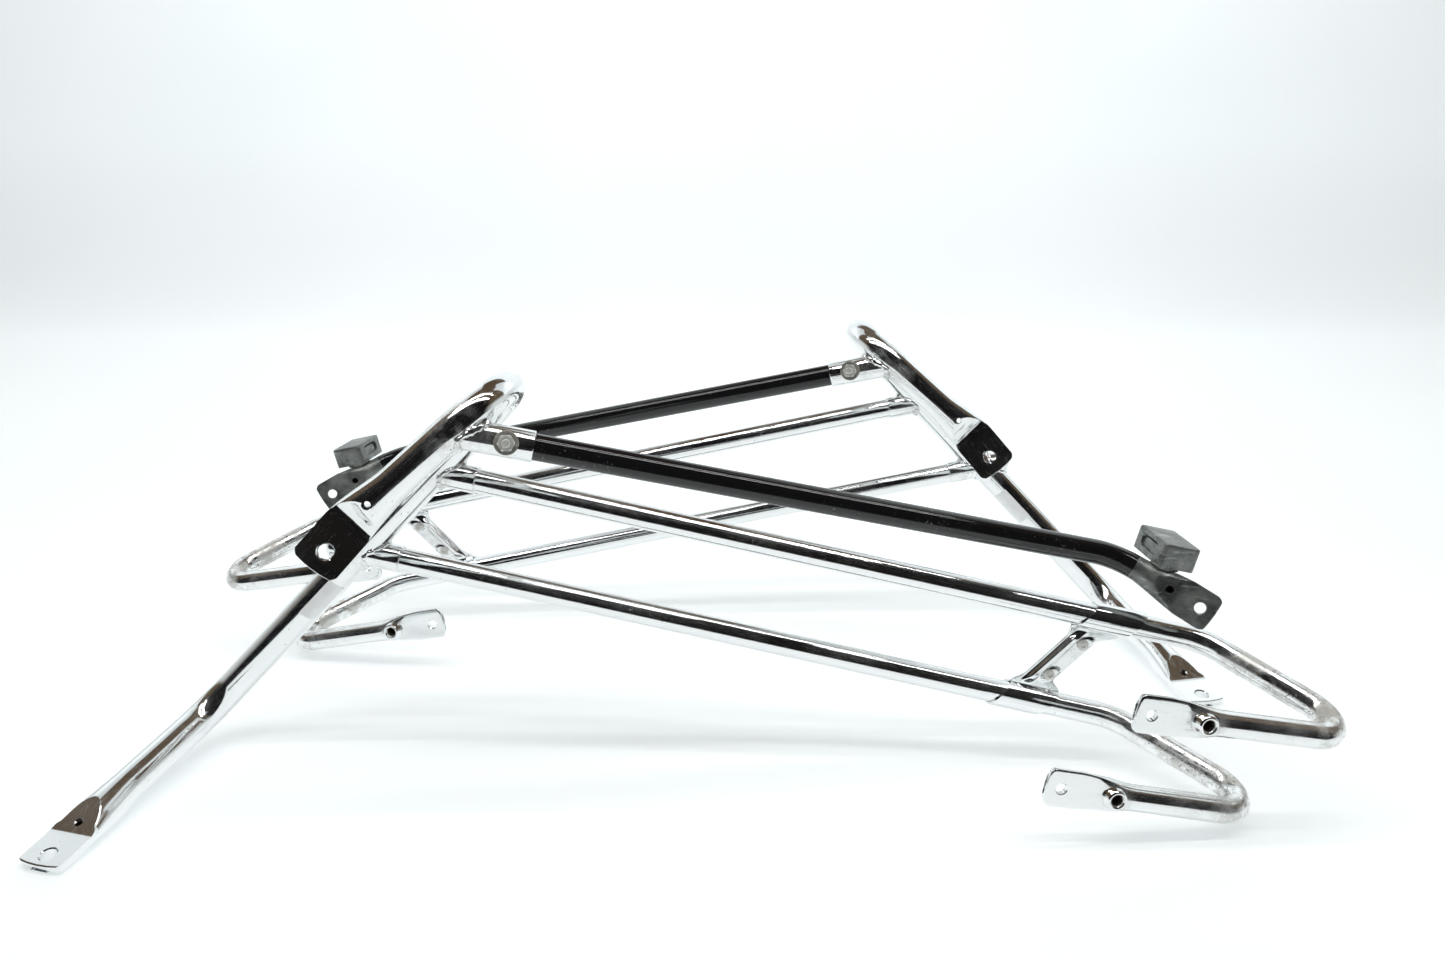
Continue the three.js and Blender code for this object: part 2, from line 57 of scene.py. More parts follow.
hoop = {
    "tubeDia": 25.4, "legLean": 45.5, "legSkew": 4, "lowerJoint": (-289, 0, 163),
    "railSpacing": 91, "legBelow": 188, "legAbove": 96, "kinkBend": 40, "footLength": 180,
    "footHeading": 255, "footDrop": 8.6, "spread": 92, "bend": 40, "turnDrop": 12,
    "shortLean": 41, "shortLength": 132, "tabHeading": 198, "tabFall": 46, "tabBack": 42,
    "tabDrop": 7, "tabBend": 60,
}
rail = {
    "tubeDia": 19, "run": 613, "fall": 11.65, "yaw": -4.3, "start": 22.5, "backBend": 45,
    "turnCorner": (91, -88, -37.2), "turnBend": 22, "frontArm": (-183, -17.6, 35.2),
    "lowerTurnShift": (4, 0, 6), "lowerArmShift": (2, 0, 4), "hole": 8, "holeInset": 12,
}
support = {
    "tubeDia": 19, "yaw": 6.5, "fall": 13, "run": 505, "inset": 23.5, "bend": 60,
    "end": (63.7, -36.9, -34.2), "socketDown": 37, "boltAt": 38, "bareFrom": 66,
}
clamp = {
    "along": 539, "sleeve": 39, "before": 15, "behind": 7, "sheet": 1.7, "inner": 9.75,
    "screws": (28, 63), "boss": 6.2, "bossHigh": 2.9, "webHigh": 2.1, "rib": 3.0, "ribAt": -9.2,
    "fillet": 3.0,
}
hoopRadius = hoop["tubeDia"] / 2

legUp = heading(hoop["legSkew"], hoop["legLean"])
lowerJoint = Vector(hoop["lowerJoint"])
upperJoint = lowerJoint + legUp * hoop["railSpacing"]
kink = lowerJoint - legUp * hoop["legBelow"]
footDirection = heading(hoop["footHeading"], -hoop["footDrop"])
footEnd = kink + footDirection * hoop["footLength"]
longTop = upperJoint + legUp * hoop["legAbove"]
shortTop = longTop + Vector((0, -hoop["spread"], hoop["turnDrop"]))
shortDown = heading(180 + hoop["legSkew"], -hoop["shortLean"])
shortEnd = shortTop + shortDown * hoop["shortLength"]
tabEnd = shortEnd + heading(hoop["tabHeading"], -hoop["tabFall"]) * hoop["tabBack"]
tabEnd -= Vector((0, hoop["tabDrop"], 0))
hoopNormal = legUp.cross(Vector((0, -1, 0))).normalized()
tabRun = (tabEnd - shortEnd).normalized()
tabNormal = tabRun.cross(hoopNormal).normalized()
footWide = up.cross(footDirection).normalized()
footNormal = footDirection.cross(footWide).normalized()

railDirection = heading(rail["yaw"], -rail["fall"])
supportDirection = heading(support["yaw"], -support["fall"])
socketStart = shortTop + shortDown * support["socketDown"]
supportKnee = socketStart + supportDirection * support["run"]
supportTip = supportKnee + Vector(support["end"])
supportArm = (supportTip - supportKnee).normalized()


def across(direction, axis):
    return (direction - axis * direction.dot(axis)).normalized()


supportNormal = across(Vector((0, -1, 0.1)), supportArm)
boltAxis = across(Vector((0, -1, 0.25)), supportDirection)
boltPoint = socketStart + supportDirection * support["boltAt"]
clampUp = (upperJoint - lowerJoint).normalized()
clampOut = railDirection.cross(clampUp).normalized()
clampIn = clampOut.cross(railDirection).normalized()
clampLower = lowerJoint + railDirection * clamp["along"]
clampSlope = railDirection.dot(clampUp) / clampIn.dot(clampUp)
clampPitch = (upperJoint - lowerJoint).dot(clampIn)

# In metres; hoopLow is the low corner of the near hoop's box in its own space
stance = {"hoopLow": (-0.48179, -0.18518, -0.0012), "farTurn": -3.45,
          "farOffset": (-0.027, 0.2485, 0)}
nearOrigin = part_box("near_hoop")[0] - Vector(stance["hoopLow"])
nearPlace = Matrix.Translation(nearOrigin) @ Matrix.Scale(toMetres, 4)
farPlace = (Matrix.Translation(nearOrigin + Vector(stance["farOffset"]))
            @ Matrix.Rotation(math.radians(stance["farTurn"]), 4, "Z")
            @ Matrix.Scale(-1, 4, (1, 0, 0)) @ Matrix.Scale(toMetres, 4))
print("near frame's origin", [round(v, 5) for v in nearOrigin])


def smooth(value, low, high):
    t = min(1, max(0, (value - low) / (high - low)))
    return t * t * (3 - 2 * t)


def mix(a, b, t):
    return a + (b - a) * t


def makeMesh(name, points, faces, tracks=None, closeLoops=()):
    mesh = bpy.data.meshes.new(name)
    mesh.from_pydata([tuple(p) for p in points], [], list(faces) + [tuple(c) for c in closeLoops])
    if tracks:
        layer = mesh.attributes.new("track", "FLOAT_VECTOR", "POINT")
        layer.data.foreach_set("vector", [c for t in tracks for c in t])
    piece = bpy.data.objects.new(name, mesh)
    bpy.context.scene.collection.objects.link(piece)
    return piece


def ringFaces(rows, sides, closed=False):  # quads between rings of points
    faces = []
    for i in range(rows if closed else rows - 1):
        j = (i + 1) % rows
        for k in range(sides):
            n = (k + 1) % sides
            faces.append((i * sides + k, j * sides + k, j * sides + n, i * sides + n))
    return faces


def sheetFaces(rows, columns):  # quads of an open grid
    faces = []
    for i in range(rows):
        for k in range(columns):
            a = i * (columns + 1) + k
            faces.append((a, a + 1, a + columns + 2, a + columns + 1))
    return faces


def thicken(piece, sheet):  # gives an open sheet its thickness, on the inner side
    step = piece.modifiers.new("thick", "SOLIDIFY")
    step.thickness = sheet
    step.offset = -1
    step.use_even_offset = False
    settle(piece)


def settle(piece):  # turns the modifiers into plain mesh
    bpy.context.view_layer.update()
    graph = bpy.context.evaluated_depsgraph_get()
    mesh = bpy.data.meshes.new_from_object(piece.evaluated_get(graph))
    piece.modifiers.clear()
    piece.data = mesh


# Line through (corner, bend radius) pairs, with each bend in steps of so many degrees
def centreLine(corners, step):
    line = [corners[0][0].copy()]
    for i in range(1, len(corners) - 1):
        here, bend = corners[i]
        back = (corners[i - 1][0] - here).normalized()
        ahead = (corners[i + 1][0] - here).normalized()
        turn = math.pi - back.angle(ahead)
        enter = here + back * bend * math.tan(turn / 2)
        centre = here + (back + ahead).normalized() * bend / math.cos(turn / 2)
        axis = ahead.cross(back).normalized()
        count = max(4, round(math.degrees(turn) / step))
        for k in range(count + 1):
            line.append(centre + Matrix.Rotation(turn * k / count, 3, axis) @ (enter - centre))
    line.append(corners[-1][0].copy())
    return line


# Adds stations to a line at distances from its start and its end, and none further apart than
# longest; gives (distance, point) pairs and the line's length.
def withStations(line, fromStart, fromEnd, longest=14):
    run = [0]
    for a, b in zip(line, line[1:]):
        run.append(run[-1] + (b - a).length)
    total = run[-1]
    wanted = list(fromStart) + [total - s for s in fromEnd]
    for a, b in zip(run, run[1:]):
        pieces = math.ceil((b - a) / longest)
        wanted += [a + (b - a) * k / pieces for k in range(1, pieces)]
    marks = sorted(zip(run, line), key=lambda m: m[0])
    for s in sorted(wanted):
        if any(abs(s - m[0]) < 0.1 for m in marks):
            continue
        i = next(k for k in range(len(run)) if run[k] > s)
        t = (s - run[i - 1]) / (run[i] - run[i - 1])
        marks.append((s, line[i - 1].lerp(line[i], t)))
    marks.sort(key=lambda m: m[0])
    return marks, total


# Tube along stations. shape(s, total, angle) gives the two offsets in the section and a slip
# along the tube; the section's width turns from startWide to endWide on the way.
def sweep(name, marks, total, startWide, endWide, shape, sides):
    points = [m[1] for m in marks]
    tangents = []
    for i, p in enumerate(points):
        before = points[max(0, i - 1)]
        after = points[min(len(points) - 1, i + 1)]
        a = (p - before).normalized() if i else (after - p).normalized()
        b = (after - p).normalized() if i < len(points) - 1 else a
        tangents.append((a + b).normalized())
    wides = [across(startWide, tangents[0])]
    for i in range(1, len(points)):
        turn = tangents[i - 1].rotation_difference(tangents[i])
        wides.append(across(turn @ wides[-1], tangents[i]))
    goal = across(endWide, tangents[-1])
    twist = wides[-1].angle(goal) * (1 if wides[-1].cross(goal).dot(tangents[-1]) > 0 else -1)
    verts, tracks = [], []
    for (s, p), tangent, wide in zip(marks, tangents, wides):
        wide = Matrix.Rotation(twist * smooth(s, total * 0.3, total * 0.7), 3, tangent) @ wide
        thin = wide.cross(tangent)
        for k in range(sides):
            angle = 2 * math.pi * k / sides
            w, t, slip = shape(s, total, angle)
            verts.append(p + wide * w + thin * t + tangent * slip)
            tracks.append((s * toMetres, k / sides, 0))
    last = (len(marks) - 1) * sides
    ends = [tuple(range(sides)), tuple(reversed(range(last, last + sides)))]
    piece = makeMesh(name, verts, ringFaces(len(marks), sides), tracks, ends)
    fixNormals(piece)
    return piece


def fixNormals(piece):
    work = bmesh.new()
    work.from_mesh(piece.data)
    bmesh.ops.recalc_face_normals(work, faces=work.faces)
    work.to_mesh(piece.data)
    work.free()


# How the tabs are pressed. square and round are the section's powers, at the flat and at the
# tube; crease softens the line where the sloping flat begins; edge is the end's rounding; lipRun
# and bulgeRun are how far the end's lip and bowed edge reach.
press = {"square": 7, "round": 2, "above": 0.6, "crease": 1.2, "creaseSink": 0.15, "edge": 0.9,
         "lipRun": 11, "bulgeRun": 14, "widen": 0.35, "lumpGrain": 0.11, "lumpRun": 26}


# Section of a tube that ends in a pressed flat tab. near is the distance from the tab's end. The
# face on the upper side is cut back by a sloping flat, where the die has pressed the tube down.
def tabSection(radius, tab, near, angle, endSign):
    flatHalf = tab["thick"] / 2
    deepFrom, deepRun = tab.get("deep", (tab["flat"], tab["blend"]))
    t = smooth(near, deepFrom, deepFrom + deepRun)
    nose = 1
    if near < tab["nose"]:
        nose = math.sqrt(1 - (1 - near / tab["nose"]) ** 2 * tab["round"])
    even = min(1, max(0, (near - tab["flat"]) / tab["blend"]))
    half = mix(tab["wide"] / 2 * nose, radius, mix(even, smooth(even, 0, 1), press["widen"]))
    c, q = math.cos(angle), math.sin(angle)
    pressed = q >= 0 and "ramp" in tab
    rounded = smooth(near, tab["flat"] - 2, tab["flat"] + 7) if pressed else t
    power = 2 / mix(press["square"], press["round"], rounded)
    w = half * math.copysign(abs(c) ** power, c)
    if pressed:
        puffed = smooth(near, tab["flat"] - 12, tab["flat"] + tab["ramp"] * 0.8)
        lumpy = tab.get("lumps", 0) * smooth(near, tab["flat"] - 3, tab["flat"] + 6)
        lumpy *= smooth(near, tab["flat"] + press["lumpRun"], tab["flat"] + 12)
        full = mix(flatHalf + tab["puff"], radius, puffed) * q ** power
        past = near - tab.get("rampFrom", tab["flat"])
        past = (past + math.sqrt(past * past + press["crease"])) / 2 - press["creaseSink"]
        slope = (radius + press["above"] - flatHalf) / tab["ramp"]
        lump = lumpy * noise.noise(Vector((near * press["lumpGrain"], c * 1.6, 4.2)))
        d = min(full, flatHalf + max(0, past) * slope + lump)
    else:
        d = math.copysign(mix(flatHalf, radius, t) * abs(q) ** power, q)
    d += tab.get("lip", 0) * max(0, 1 - near / press["lipRun"]) ** 2
    edge = press["edge"]
    if near < edge:
        cutBack = edge * (1 - math.sqrt(1 - (1 - near / edge) ** 2))
        w -= math.copysign(min(abs(w), cutBack), w)
        d -= math.copysign(min(abs(d), cutBack), d)
    bow = (w / (tab["wide"] / 2)) ** 2 * max(0, 1 - near / press["bulgeRun"])
    slip = -endSign * tab["bulge"] * bow
    return w, d, slip


def tabStations(tab):  # close together where the section changes quickly
    marks = [0, 0.15, 0.4, 0.9, 2, 3.5, 5, 7, 9, 12, 15, 18, 22]
    s = tab["flat"] - 6
    while s < tab["flat"] + tab.get("ramp", 8) + 12:
        marks.append(s)
        s += 0.8
    while s < tab["flat"] + tab["blend"] + 6:
        marks.append(s)
        s += 2.5
    return marks


# Turned shape round an axis. profile is a list of (radius, height), closed into a ring if asked;
# grooves(radius, height, angle) can change the radius, which makes the flats of a nut.
def lathe(name, profile, origin, axis, sides=48, ring=False, grooves=None):
    axis = axis.normalized()
    side = across(Vector((0.3, 0.2, 1)), axis)
    other = axis.cross(side)
    verts = []
    for r, z in profile:
        for k in range(sides):
            a = 2 * math.pi * k / sides
            reach = r if grooves is None else grooves(r, z, a)
            verts.append(origin + axis * z + (side * math.cos(a) + other * math.sin(a)) * reach)
    rows = len(profile)
    ends = [] if ring else [tuple(range(sides)), tuple(range((rows - 1) * sides, rows * sides))]
    piece = makeMesh(name, verts, ringFaces(rows, sides, ring), None, ends)
    fixNormals(piece)
    return piece


def drill(piece, cutters):
    for spare in (chrome, boreRustAndPaintedShade):  # so that the bits' slot numbers carry over
        piece.data.materials.append(spare)
    for cutter in cutters:
        step = piece.modifiers.new("drill", "BOOLEAN")
        step.object = cutter
        step.operation = "DIFFERENCE"
        step.solver = "EXACT"
    settle(piece)
    for cutter in cutters:
        bpy.data.objects.remove(cutter)


# Drill bit with a countersink as wide as lip. face is the drilled surface's height above the
# origin, and inside is the slot number that the bore's wall gets. Slot 1 is the dark brown bore
# colour: rust, and painted shade where a blind bore stands for the hollow tube's dark inside.
def bit(origin, axis, radius, face, depth, lip, inside=0):
    clear = 12
    profile = [(radius, -depth), (radius, face - lip), (radius + lip, face + 0.02),
               (radius + lip, face + clear)]
    cutter = lathe("bit", profile, origin, axis)
    for spare in (chrome, boreRustAndPaintedShade):
        cutter.data.materials.append(spare)
    for polygon in cutter.data.polygons:
        if (polygon.center - origin).dot(axis.normalized()) < face - lip:
            polygon.material_index = inside
    return cutter


beads = {"sides": 12, "ripple": 0.22, "pointsPerRipple": 9, "grain": 0.55}


# Closed weld bead along a loop of points, each with its outward direction
def bead(name, loop, outs, radius, lump, seed):
    verts = []
    sides = beads["sides"]
    count = len(loop)
    ripples = round(count / beads["pointsPerRipple"])
    for i, (p, out) in enumerate(zip(loop, outs)):
        tangent = (loop[(i + 1) % count] - loop[i - 1]).normalized()
        out = across(out, tangent)
        side = tangent.cross(out)
        for k in range(sides):
            a = 2 * math.pi * k / sides
            d = out * math.cos(a) + side * math.sin(a)
            bump = noise.noise((p + d * radius) * beads["grain"] + Vector((seed, 0, 0)))
            wave = beads["ripple"] * math.sin(i * 2 * math.pi * ripples / count)
            scale = 1 + wave + lump * bump
            verts.append(p + d * radius * scale)
    piece = makeMesh(name, verts, ringFaces(count, sides, True))
    fixNormals(piece)
    return piece


# Where a small tube meets a larger one: the loop round the joint
def meeting(joint, axis, radius, legAxis, legRadius, count=108):
    side = across(legAxis, axis)
    other = axis.cross(side)
    loop, outs = [], []
    for i in range(count):
        a = 2 * math.pi * i / count
        out = side * math.cos(a) + other * math.sin(a)
        start = out * radius
        lead = axis - legAxis * axis.dot(legAxis)
        flat = start - legAxis * start.dot(legAxis)
        a2, b2 = lead.dot(lead), lead.dot(flat)
        c2 = flat.dot(flat) - legRadius ** 2
        reach = (-b2 + math.sqrt(max(0, b2 * b2 - a2 * c2))) / a2
        loop.append(joint + start + axis * reach)
        outs.append((out + axis).normalized())
    return loop, outs


def newMaterial(name, base, metallic, roughness):
    material = bpy.data.materials.new(name)
    material.use_nodes = True
    tree = material.node_tree
    shader = tree.nodes["Principled BSDF"]
    shader.inputs["Base Color"].default_value = (*base, 1)
    shader.inputs["Metallic"].default_value = metallic
    shader.inputs["Roughness"].default_value = roughness
    return material, tree, shader


def addNode(tree, kind, links=(), **values):
    made = tree.nodes.new(kind)
    for key, value in values.items():
        if hasattr(made, key):
            setattr(made, key, value)
        else:
            made.inputs[key.replace("_", " ")].default_value = value
    for socket, source in links:
        tree.links.new(source, made.inputs[socket])
    return made


def noiseNode(tree, place, scale, detail=3, roughness=0.55, stretch=(1, 1, 1)):
    mapping = addNode(tree, "ShaderNodeMapping", [("Vector", place)])
    mapping.inputs["Scale"].default_value = stretch
    return addNode(tree, "ShaderNodeTexNoise", [("Vector", mapping.outputs["Vector"])],
                   Scale=scale, Detail=detail, Roughness=roughness).outputs["Fac"]


def ramp(tree, source, low, high, start=0.0, end=1.0):
    made = addNode(tree, "ShaderNodeMapRange", [("Value", source)])
    made.inputs["From Min"].default_value = low
    made.inputs["From Max"].default_value = high
    made.inputs["To Min"].default_value = start
    made.inputs["To Max"].default_value = end
    return made.outputs["Result"]


def math2(tree, operation, a, b):
    made = addNode(tree, "ShaderNodeMath", operation=operation)
    for i, value in enumerate((a, b)):
        if isinstance(value, (int, float)):
            made.inputs[i].default_value = value
        else:
            tree.links.new(value, made.inputs[i])
    return made.outputs[0]


def blendColour(tree, factor, a, b):
    made = addNode(tree, "ShaderNodeMix", data_type="RGBA")
    if isinstance(factor, (int, float)):
        made.inputs[0].default_value = factor
    else:
        tree.links.new(factor, made.inputs[0])
    for i, value in ((6, a), (7, b)):
        if isinstance(value, tuple):
            made.inputs[i].default_value = (*value, 1)
        else:
            tree.links.new(value, made.inputs[i])
    return made.outputs[2]


def placeOutput(tree):
    return addNode(tree, "ShaderNodeTexCoord").outputs["Object"]


def trackOutput(tree):
    return addNode(tree, "ShaderNodeAttribute", attribute_name="track").outputs["Vector"]


def bumpInto(tree, shader, height, strength, distance):
    made = addNode(tree, "ShaderNodeBump", [("Height", height)])
    made.inputs["Strength"].default_value = strength
    made.inputs["Distance"].default_value = distance
    tree.links.new(made.outputs["Normal"], shader.inputs["Normal"])


# Plated steel: clear mirror with hairline scratches along the tube, pin-prick pits, film of
# dust on faces that look up, and brown specks that thicken where grime is high.
def platedSteel(name, tint, dust, spatter=0.0):
    material, tree, shader = newMaterial(name, tint, 1, 0.05)
    place, track = placeOutput(tree), trackOutput(tree)
    facing = addNode(tree, "ShaderNodeNewGeometry").outputs["Normal"]
    upward = addNode(tree, "ShaderNodeSeparateXYZ", [("Vector", facing)]).outputs["Z"]
    patches = noiseNode(tree, place, 14, 4)
    fine = noiseNode(tree, place, 900, 2)
    grit = noiseNode(tree, place, 420, 2, 0.7)
    hairline = noiseNode(tree, track, 60, 2, 0.6, (0.8, 14, 1))
    blotch = noiseNode(tree, place, 60, 5, 0.65)
    grime = addNode(tree, "ShaderNodeAttribute", attribute_name="grime").outputs["Fac"]
    onTop = ramp(tree, upward, 0.15, 0.95)
    film = math2(tree, "MULTIPLY", math2(tree, "MULTIPLY", onTop, ramp(tree, patches, 0.35, 0.7)),
                 dust)
    film = math2(tree, "ADD", film, math2(tree, "MULTIPLY", grime, ramp(tree, blotch, 0.42, 0.62)))
    film = math2(tree, "MINIMUM", film, 0.85)
    speckEdge = math2(tree, "SUBTRACT", 0.73, math2(tree, "MULTIPLY", grime, 0.10))
    speck = math2(tree, "GREATER_THAN", grit, speckEdge)
    colour = blendColour(tree, film, tint, (0.50, 0.485, 0.44))
    colour = blendColour(tree, speck, colour, (0.13, 0.10, 0.07))
    lint = math2(tree, "GREATER_THAN", noiseNode(tree, place, 300, 3, 0.75, (1, 1.3, 1)), 0.715)
    colour = blendColour(tree, lint, colour, (0.62, 0.61, 0.58))
    tree.links.new(colour, shader.inputs["Base Color"])
    metal = math2(tree, "SUBTRACT", 1, math2(tree, "MULTIPLY", film, 0.8))
    metal = math2(tree, "SUBTRACT", metal, math2(tree, "MULTIPLY", lint, 0.7))
    metal = math2(tree, "SUBTRACT", metal, math2(tree, "MULTIPLY", speck, 0.4))
    tree.links.new(math2(tree, "MAXIMUM", metal, 0), shader.inputs["Metallic"])
    rough = math2(tree, "ADD", ramp(tree, patches, 0.3, 0.75, 0.025, 0.085),
                  math2(tree, "MULTIPLY", film, 0.5))
    rough = math2(tree, "ADD", rough, ramp(tree, hairline, 0.60, 0.70, 0, 0.30))
    rough = math2(tree, "ADD", rough, math2(tree, "MULTIPLY", speck, 0.4))
    tree.links.new(rough, shader.inputs["Roughness"])
    height = math2(tree, "ADD", math2(tree, "MULTIPLY", fine, 0.25 + spatter),
                   math2(tree, "MULTIPLY", ramp(tree, hairline, 0.6, 0.75), -0.3))
    height = math2(tree, "ADD", height, math2(tree, "MULTIPLY", blotch, spatter * 4))
    bumpInto(tree, shader, height, 0.12 + spatter, 0.0004)
    return material


def paintedSteel():
    material, tree, shader = newMaterial("glossBlackPaint", (0.008, 0.008, 0.009), 0, 0.10)
    shader.inputs["Specular IOR Level"].default_value = 0.6
    place, track = placeOutput(tree), trackOutput(tree)
    patches = noiseNode(tree, place, 20, 4)
    grit = noiseNode(tree, place, 500, 2, 0.7)
    scratch = noiseNode(tree, track, 70, 3, 0.7, (1.6, 10, 1))
    peel = noiseNode(tree, place, 240, 2)
    chip = math2(tree, "MULTIPLY", math2(tree, "GREATER_THAN", grit, 0.70),
                 ramp(tree, patches, 0.42, 0.6))
    line = math2(tree, "MULTIPLY", ramp(tree, scratch, 0.66, 0.72), ramp(tree, patches, 0.5, 0.62))
    worn = math2(tree, "MINIMUM", math2(tree, "ADD", chip, math2(tree, "MULTIPLY", line, 0.7)), 1)
    colour = blendColour(tree, worn, (0.008, 0.008, 0.009), (0.30, 0.30, 0.29))
    tree.links.new(colour, shader.inputs["Base Color"])
    rough = math2(tree, "ADD", ramp(tree, patches, 0.3, 0.7, 0.05, 0.14),
                  math2(tree, "MULTIPLY", worn, 0.35))
    tree.links.new(rough, shader.inputs["Roughness"])
    height = math2(tree, "SUBTRACT", math2(tree, "MULTIPLY", peel, 0.3), worn)
    bumpInto(tree, shader, height, 0.10, 0.0005)
    return material


def wornSteel(name, dark, light, rusty, lowRough, highRough, metal=0.85):
    material, tree, shader = newMaterial(name, dark, metal, lowRough)
    place = placeOutput(tree)
    patches = noiseNode(tree, place, 55, 6, 0.65)
    grit = noiseNode(tree, place, 620, 3, 0.7)
    rub = noiseNode(tree, place, 130, 4, 0.6, (0.4, 1, 2.5))
    colour = blendColour(tree, ramp(tree, patches, 0.38, 0.66), dark, light)
    colour = blendColour(tree, ramp(tree, rub, 0.58, 0.7, 0, 0.6), colour,
                         tuple(min(1, c * 1.9) for c in light))
    rust = math2(tree, "MULTIPLY", ramp(tree, grit, 0.58, 0.68), ramp(tree, patches, 0.45, 0.6))
    colour = blendColour(tree, math2(tree, "MULTIPLY", rust, 0.8), colour, rusty)
    tree.links.new(colour, shader.inputs["Base Color"])
    tree.links.new(ramp(tree, patches, 0.3, 0.7, lowRough, highRough), shader.inputs["Roughness"])
    tree.links.new(math2(tree, "SUBTRACT", metal, math2(tree, "MULTIPLY", rust, metal * 0.8)),
                   shader.inputs["Metallic"])
    bumpInto(tree, shader, math2(tree, "ADD", grit, patches), 0.16, 0.0006)
    return material


def paperLabel():
    material, tree, shader = newMaterial("plainLabel", (0.93, 0.94, 0.94), 0, 0.4)
    place = placeOutput(tree)
    fibre = noiseNode(tree, place, 700, 4, 0.7)
    stain = noiseNode(tree, place, 90, 4)
    colour = blendColour(tree, ramp(tree, stain, 0.5, 0.75, 0, 0.6), (0.97, 0.98, 0.98),
                         (0.88, 0.88, 0.86))
    tree.links.new(colour, shader.inputs["Base Color"])
    tree.links.new(ramp(tree, fibre, 0.3, 0.7, 0.3, 0.5), shader.inputs["Roughness"])
    bumpInto(tree, shader, fibre, 0.08, 0.0003)
    return material


chrome = platedSteel("chrome", (0.86, 0.875, 0.88), 0.12)
dustyChrome = platedSteel("dustyChrome", (0.86, 0.875, 0.88), 0.26)
weldChrome = platedSteel("weldChrome", (0.82, 0.83, 0.84), 0.15, 0.3)
blackPaint = paintedSteel()
wornLatch = wornSteel("wornDarkSteel", (0.10, 0.108, 0.105), (0.30, 0.315, 0.30),
                      (0.10, 0.07, 0.045), 0.24, 0.44, 0.6)
zincPlate = wornSteel("dullZinc", (0.66, 0.66, 0.62), (0.90, 0.90, 0.87), (0.22, 0.18, 0.12),
                      0.20, 0.36, 0.3)
# Dark brown walls and floors of the blind bores: rust, and painted shade, since each blind bore
# stands where the real tube is hollow and dark inside.
boreRustAndPaintedShade = wornSteel("boreRustAndPaintedShade", (0.045, 0.032, 0.02), (0.12, 0.085, 0.05),
                      (0.16, 0.09, 0.04), 0.6, 0.85)
dirtyZinc = wornSteel("dirtyZinc", (0.22, 0.215, 0.19), (0.42, 0.41, 0.37), (0.12, 0.09, 0.05),
                      0.35, 0.6, 0.35)
label = paperLabel()
print("materials ready")


def spread(piece, grime):  # grime(point in near millimetres) becomes a value per vertex
    layer = piece.data.attributes.new("grime", "FLOAT", "POINT")
    layer.data.foreach_set("value", [grime(v.co) for v in piece.data.vertices])


# Sets a piece in the near frame, and its mirror image in the far one. A piece without a node
# name, such as a weld, stands for no CAD node.
def placePair(piece, nodeName, materials, smoothAngle, grime=None):
    baseName = piece.name
    spread(piece, grime or (lambda p: 0))
    numbers = [face.material_index for face in piece.data.polygons]
    piece.data.materials.clear()
    for material in materials:
        piece.data.materials.append(material)
    piece.data.polygons.foreach_set("material_index", numbers)
    shapes = (("near", nearPlace, piece.data), ("far", farPlace, piece.data.copy()))
    for side, place, mesh in shapes:
        mesh.transform(place)
        mesh.polygons.foreach_set("use_smooth", [True] * len(mesh.polygons))
        made = piece
        if side == "far":  # a mirrored mesh is inside out until its faces are turned
            mesh.flip_normals()
            made = bpy.data.objects.new("far", mesh)
            bpy.context.scene.collection.objects.link(made)
        mesh.set_sharp_from_angle(angle=math.radians(smoothAngle))
        made.name = f"{side}_{baseName}"
        mesh.name = made.name
        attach(made, f"{side}_frame")
        if nodeName:
            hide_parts(f"{side}_{nodeName}")


def nearTo(*spots):  # grime that fades with distance from some points: (point, radius, amount)
    def amount(p):
        total = 0
        for spot, radius, strength in spots:
            total += strength * max(0, 1 - (p - spot).length / radius)
        return min(1, total)
    return amount


# Holes are (distance from the end, radius); the leg tab's small one is measured from the bend
footTab = {"wide": 35, "thick": 6.5, "nose": 2.6, "round": 0.28, "flat": 31, "blend": 52,
           "ramp": 28, "puff": 4.2, "bulge": 2.2, "bigHole": (10.5, 5.5), "smallHole": (38, 2.5)}
legTab = {"wide": 35, "thick": 6.5, "nose": 4.5, "round": 0.4, "flat": 36, "blend": 46,
          "ramp": 20, "rampFrom": 44, "puff": 3.2, "bulge": 2.2, "lip": 2.0, "lumps": 0.9,
          "bigHole": (15, 5.5), "smallHole": (14, 2.6), "domeHigh": 12}
drilled = {"through": 30, "shallow": 3, "footLip": 0.8, "drainLip": 0.9, "legLip": 1.0}


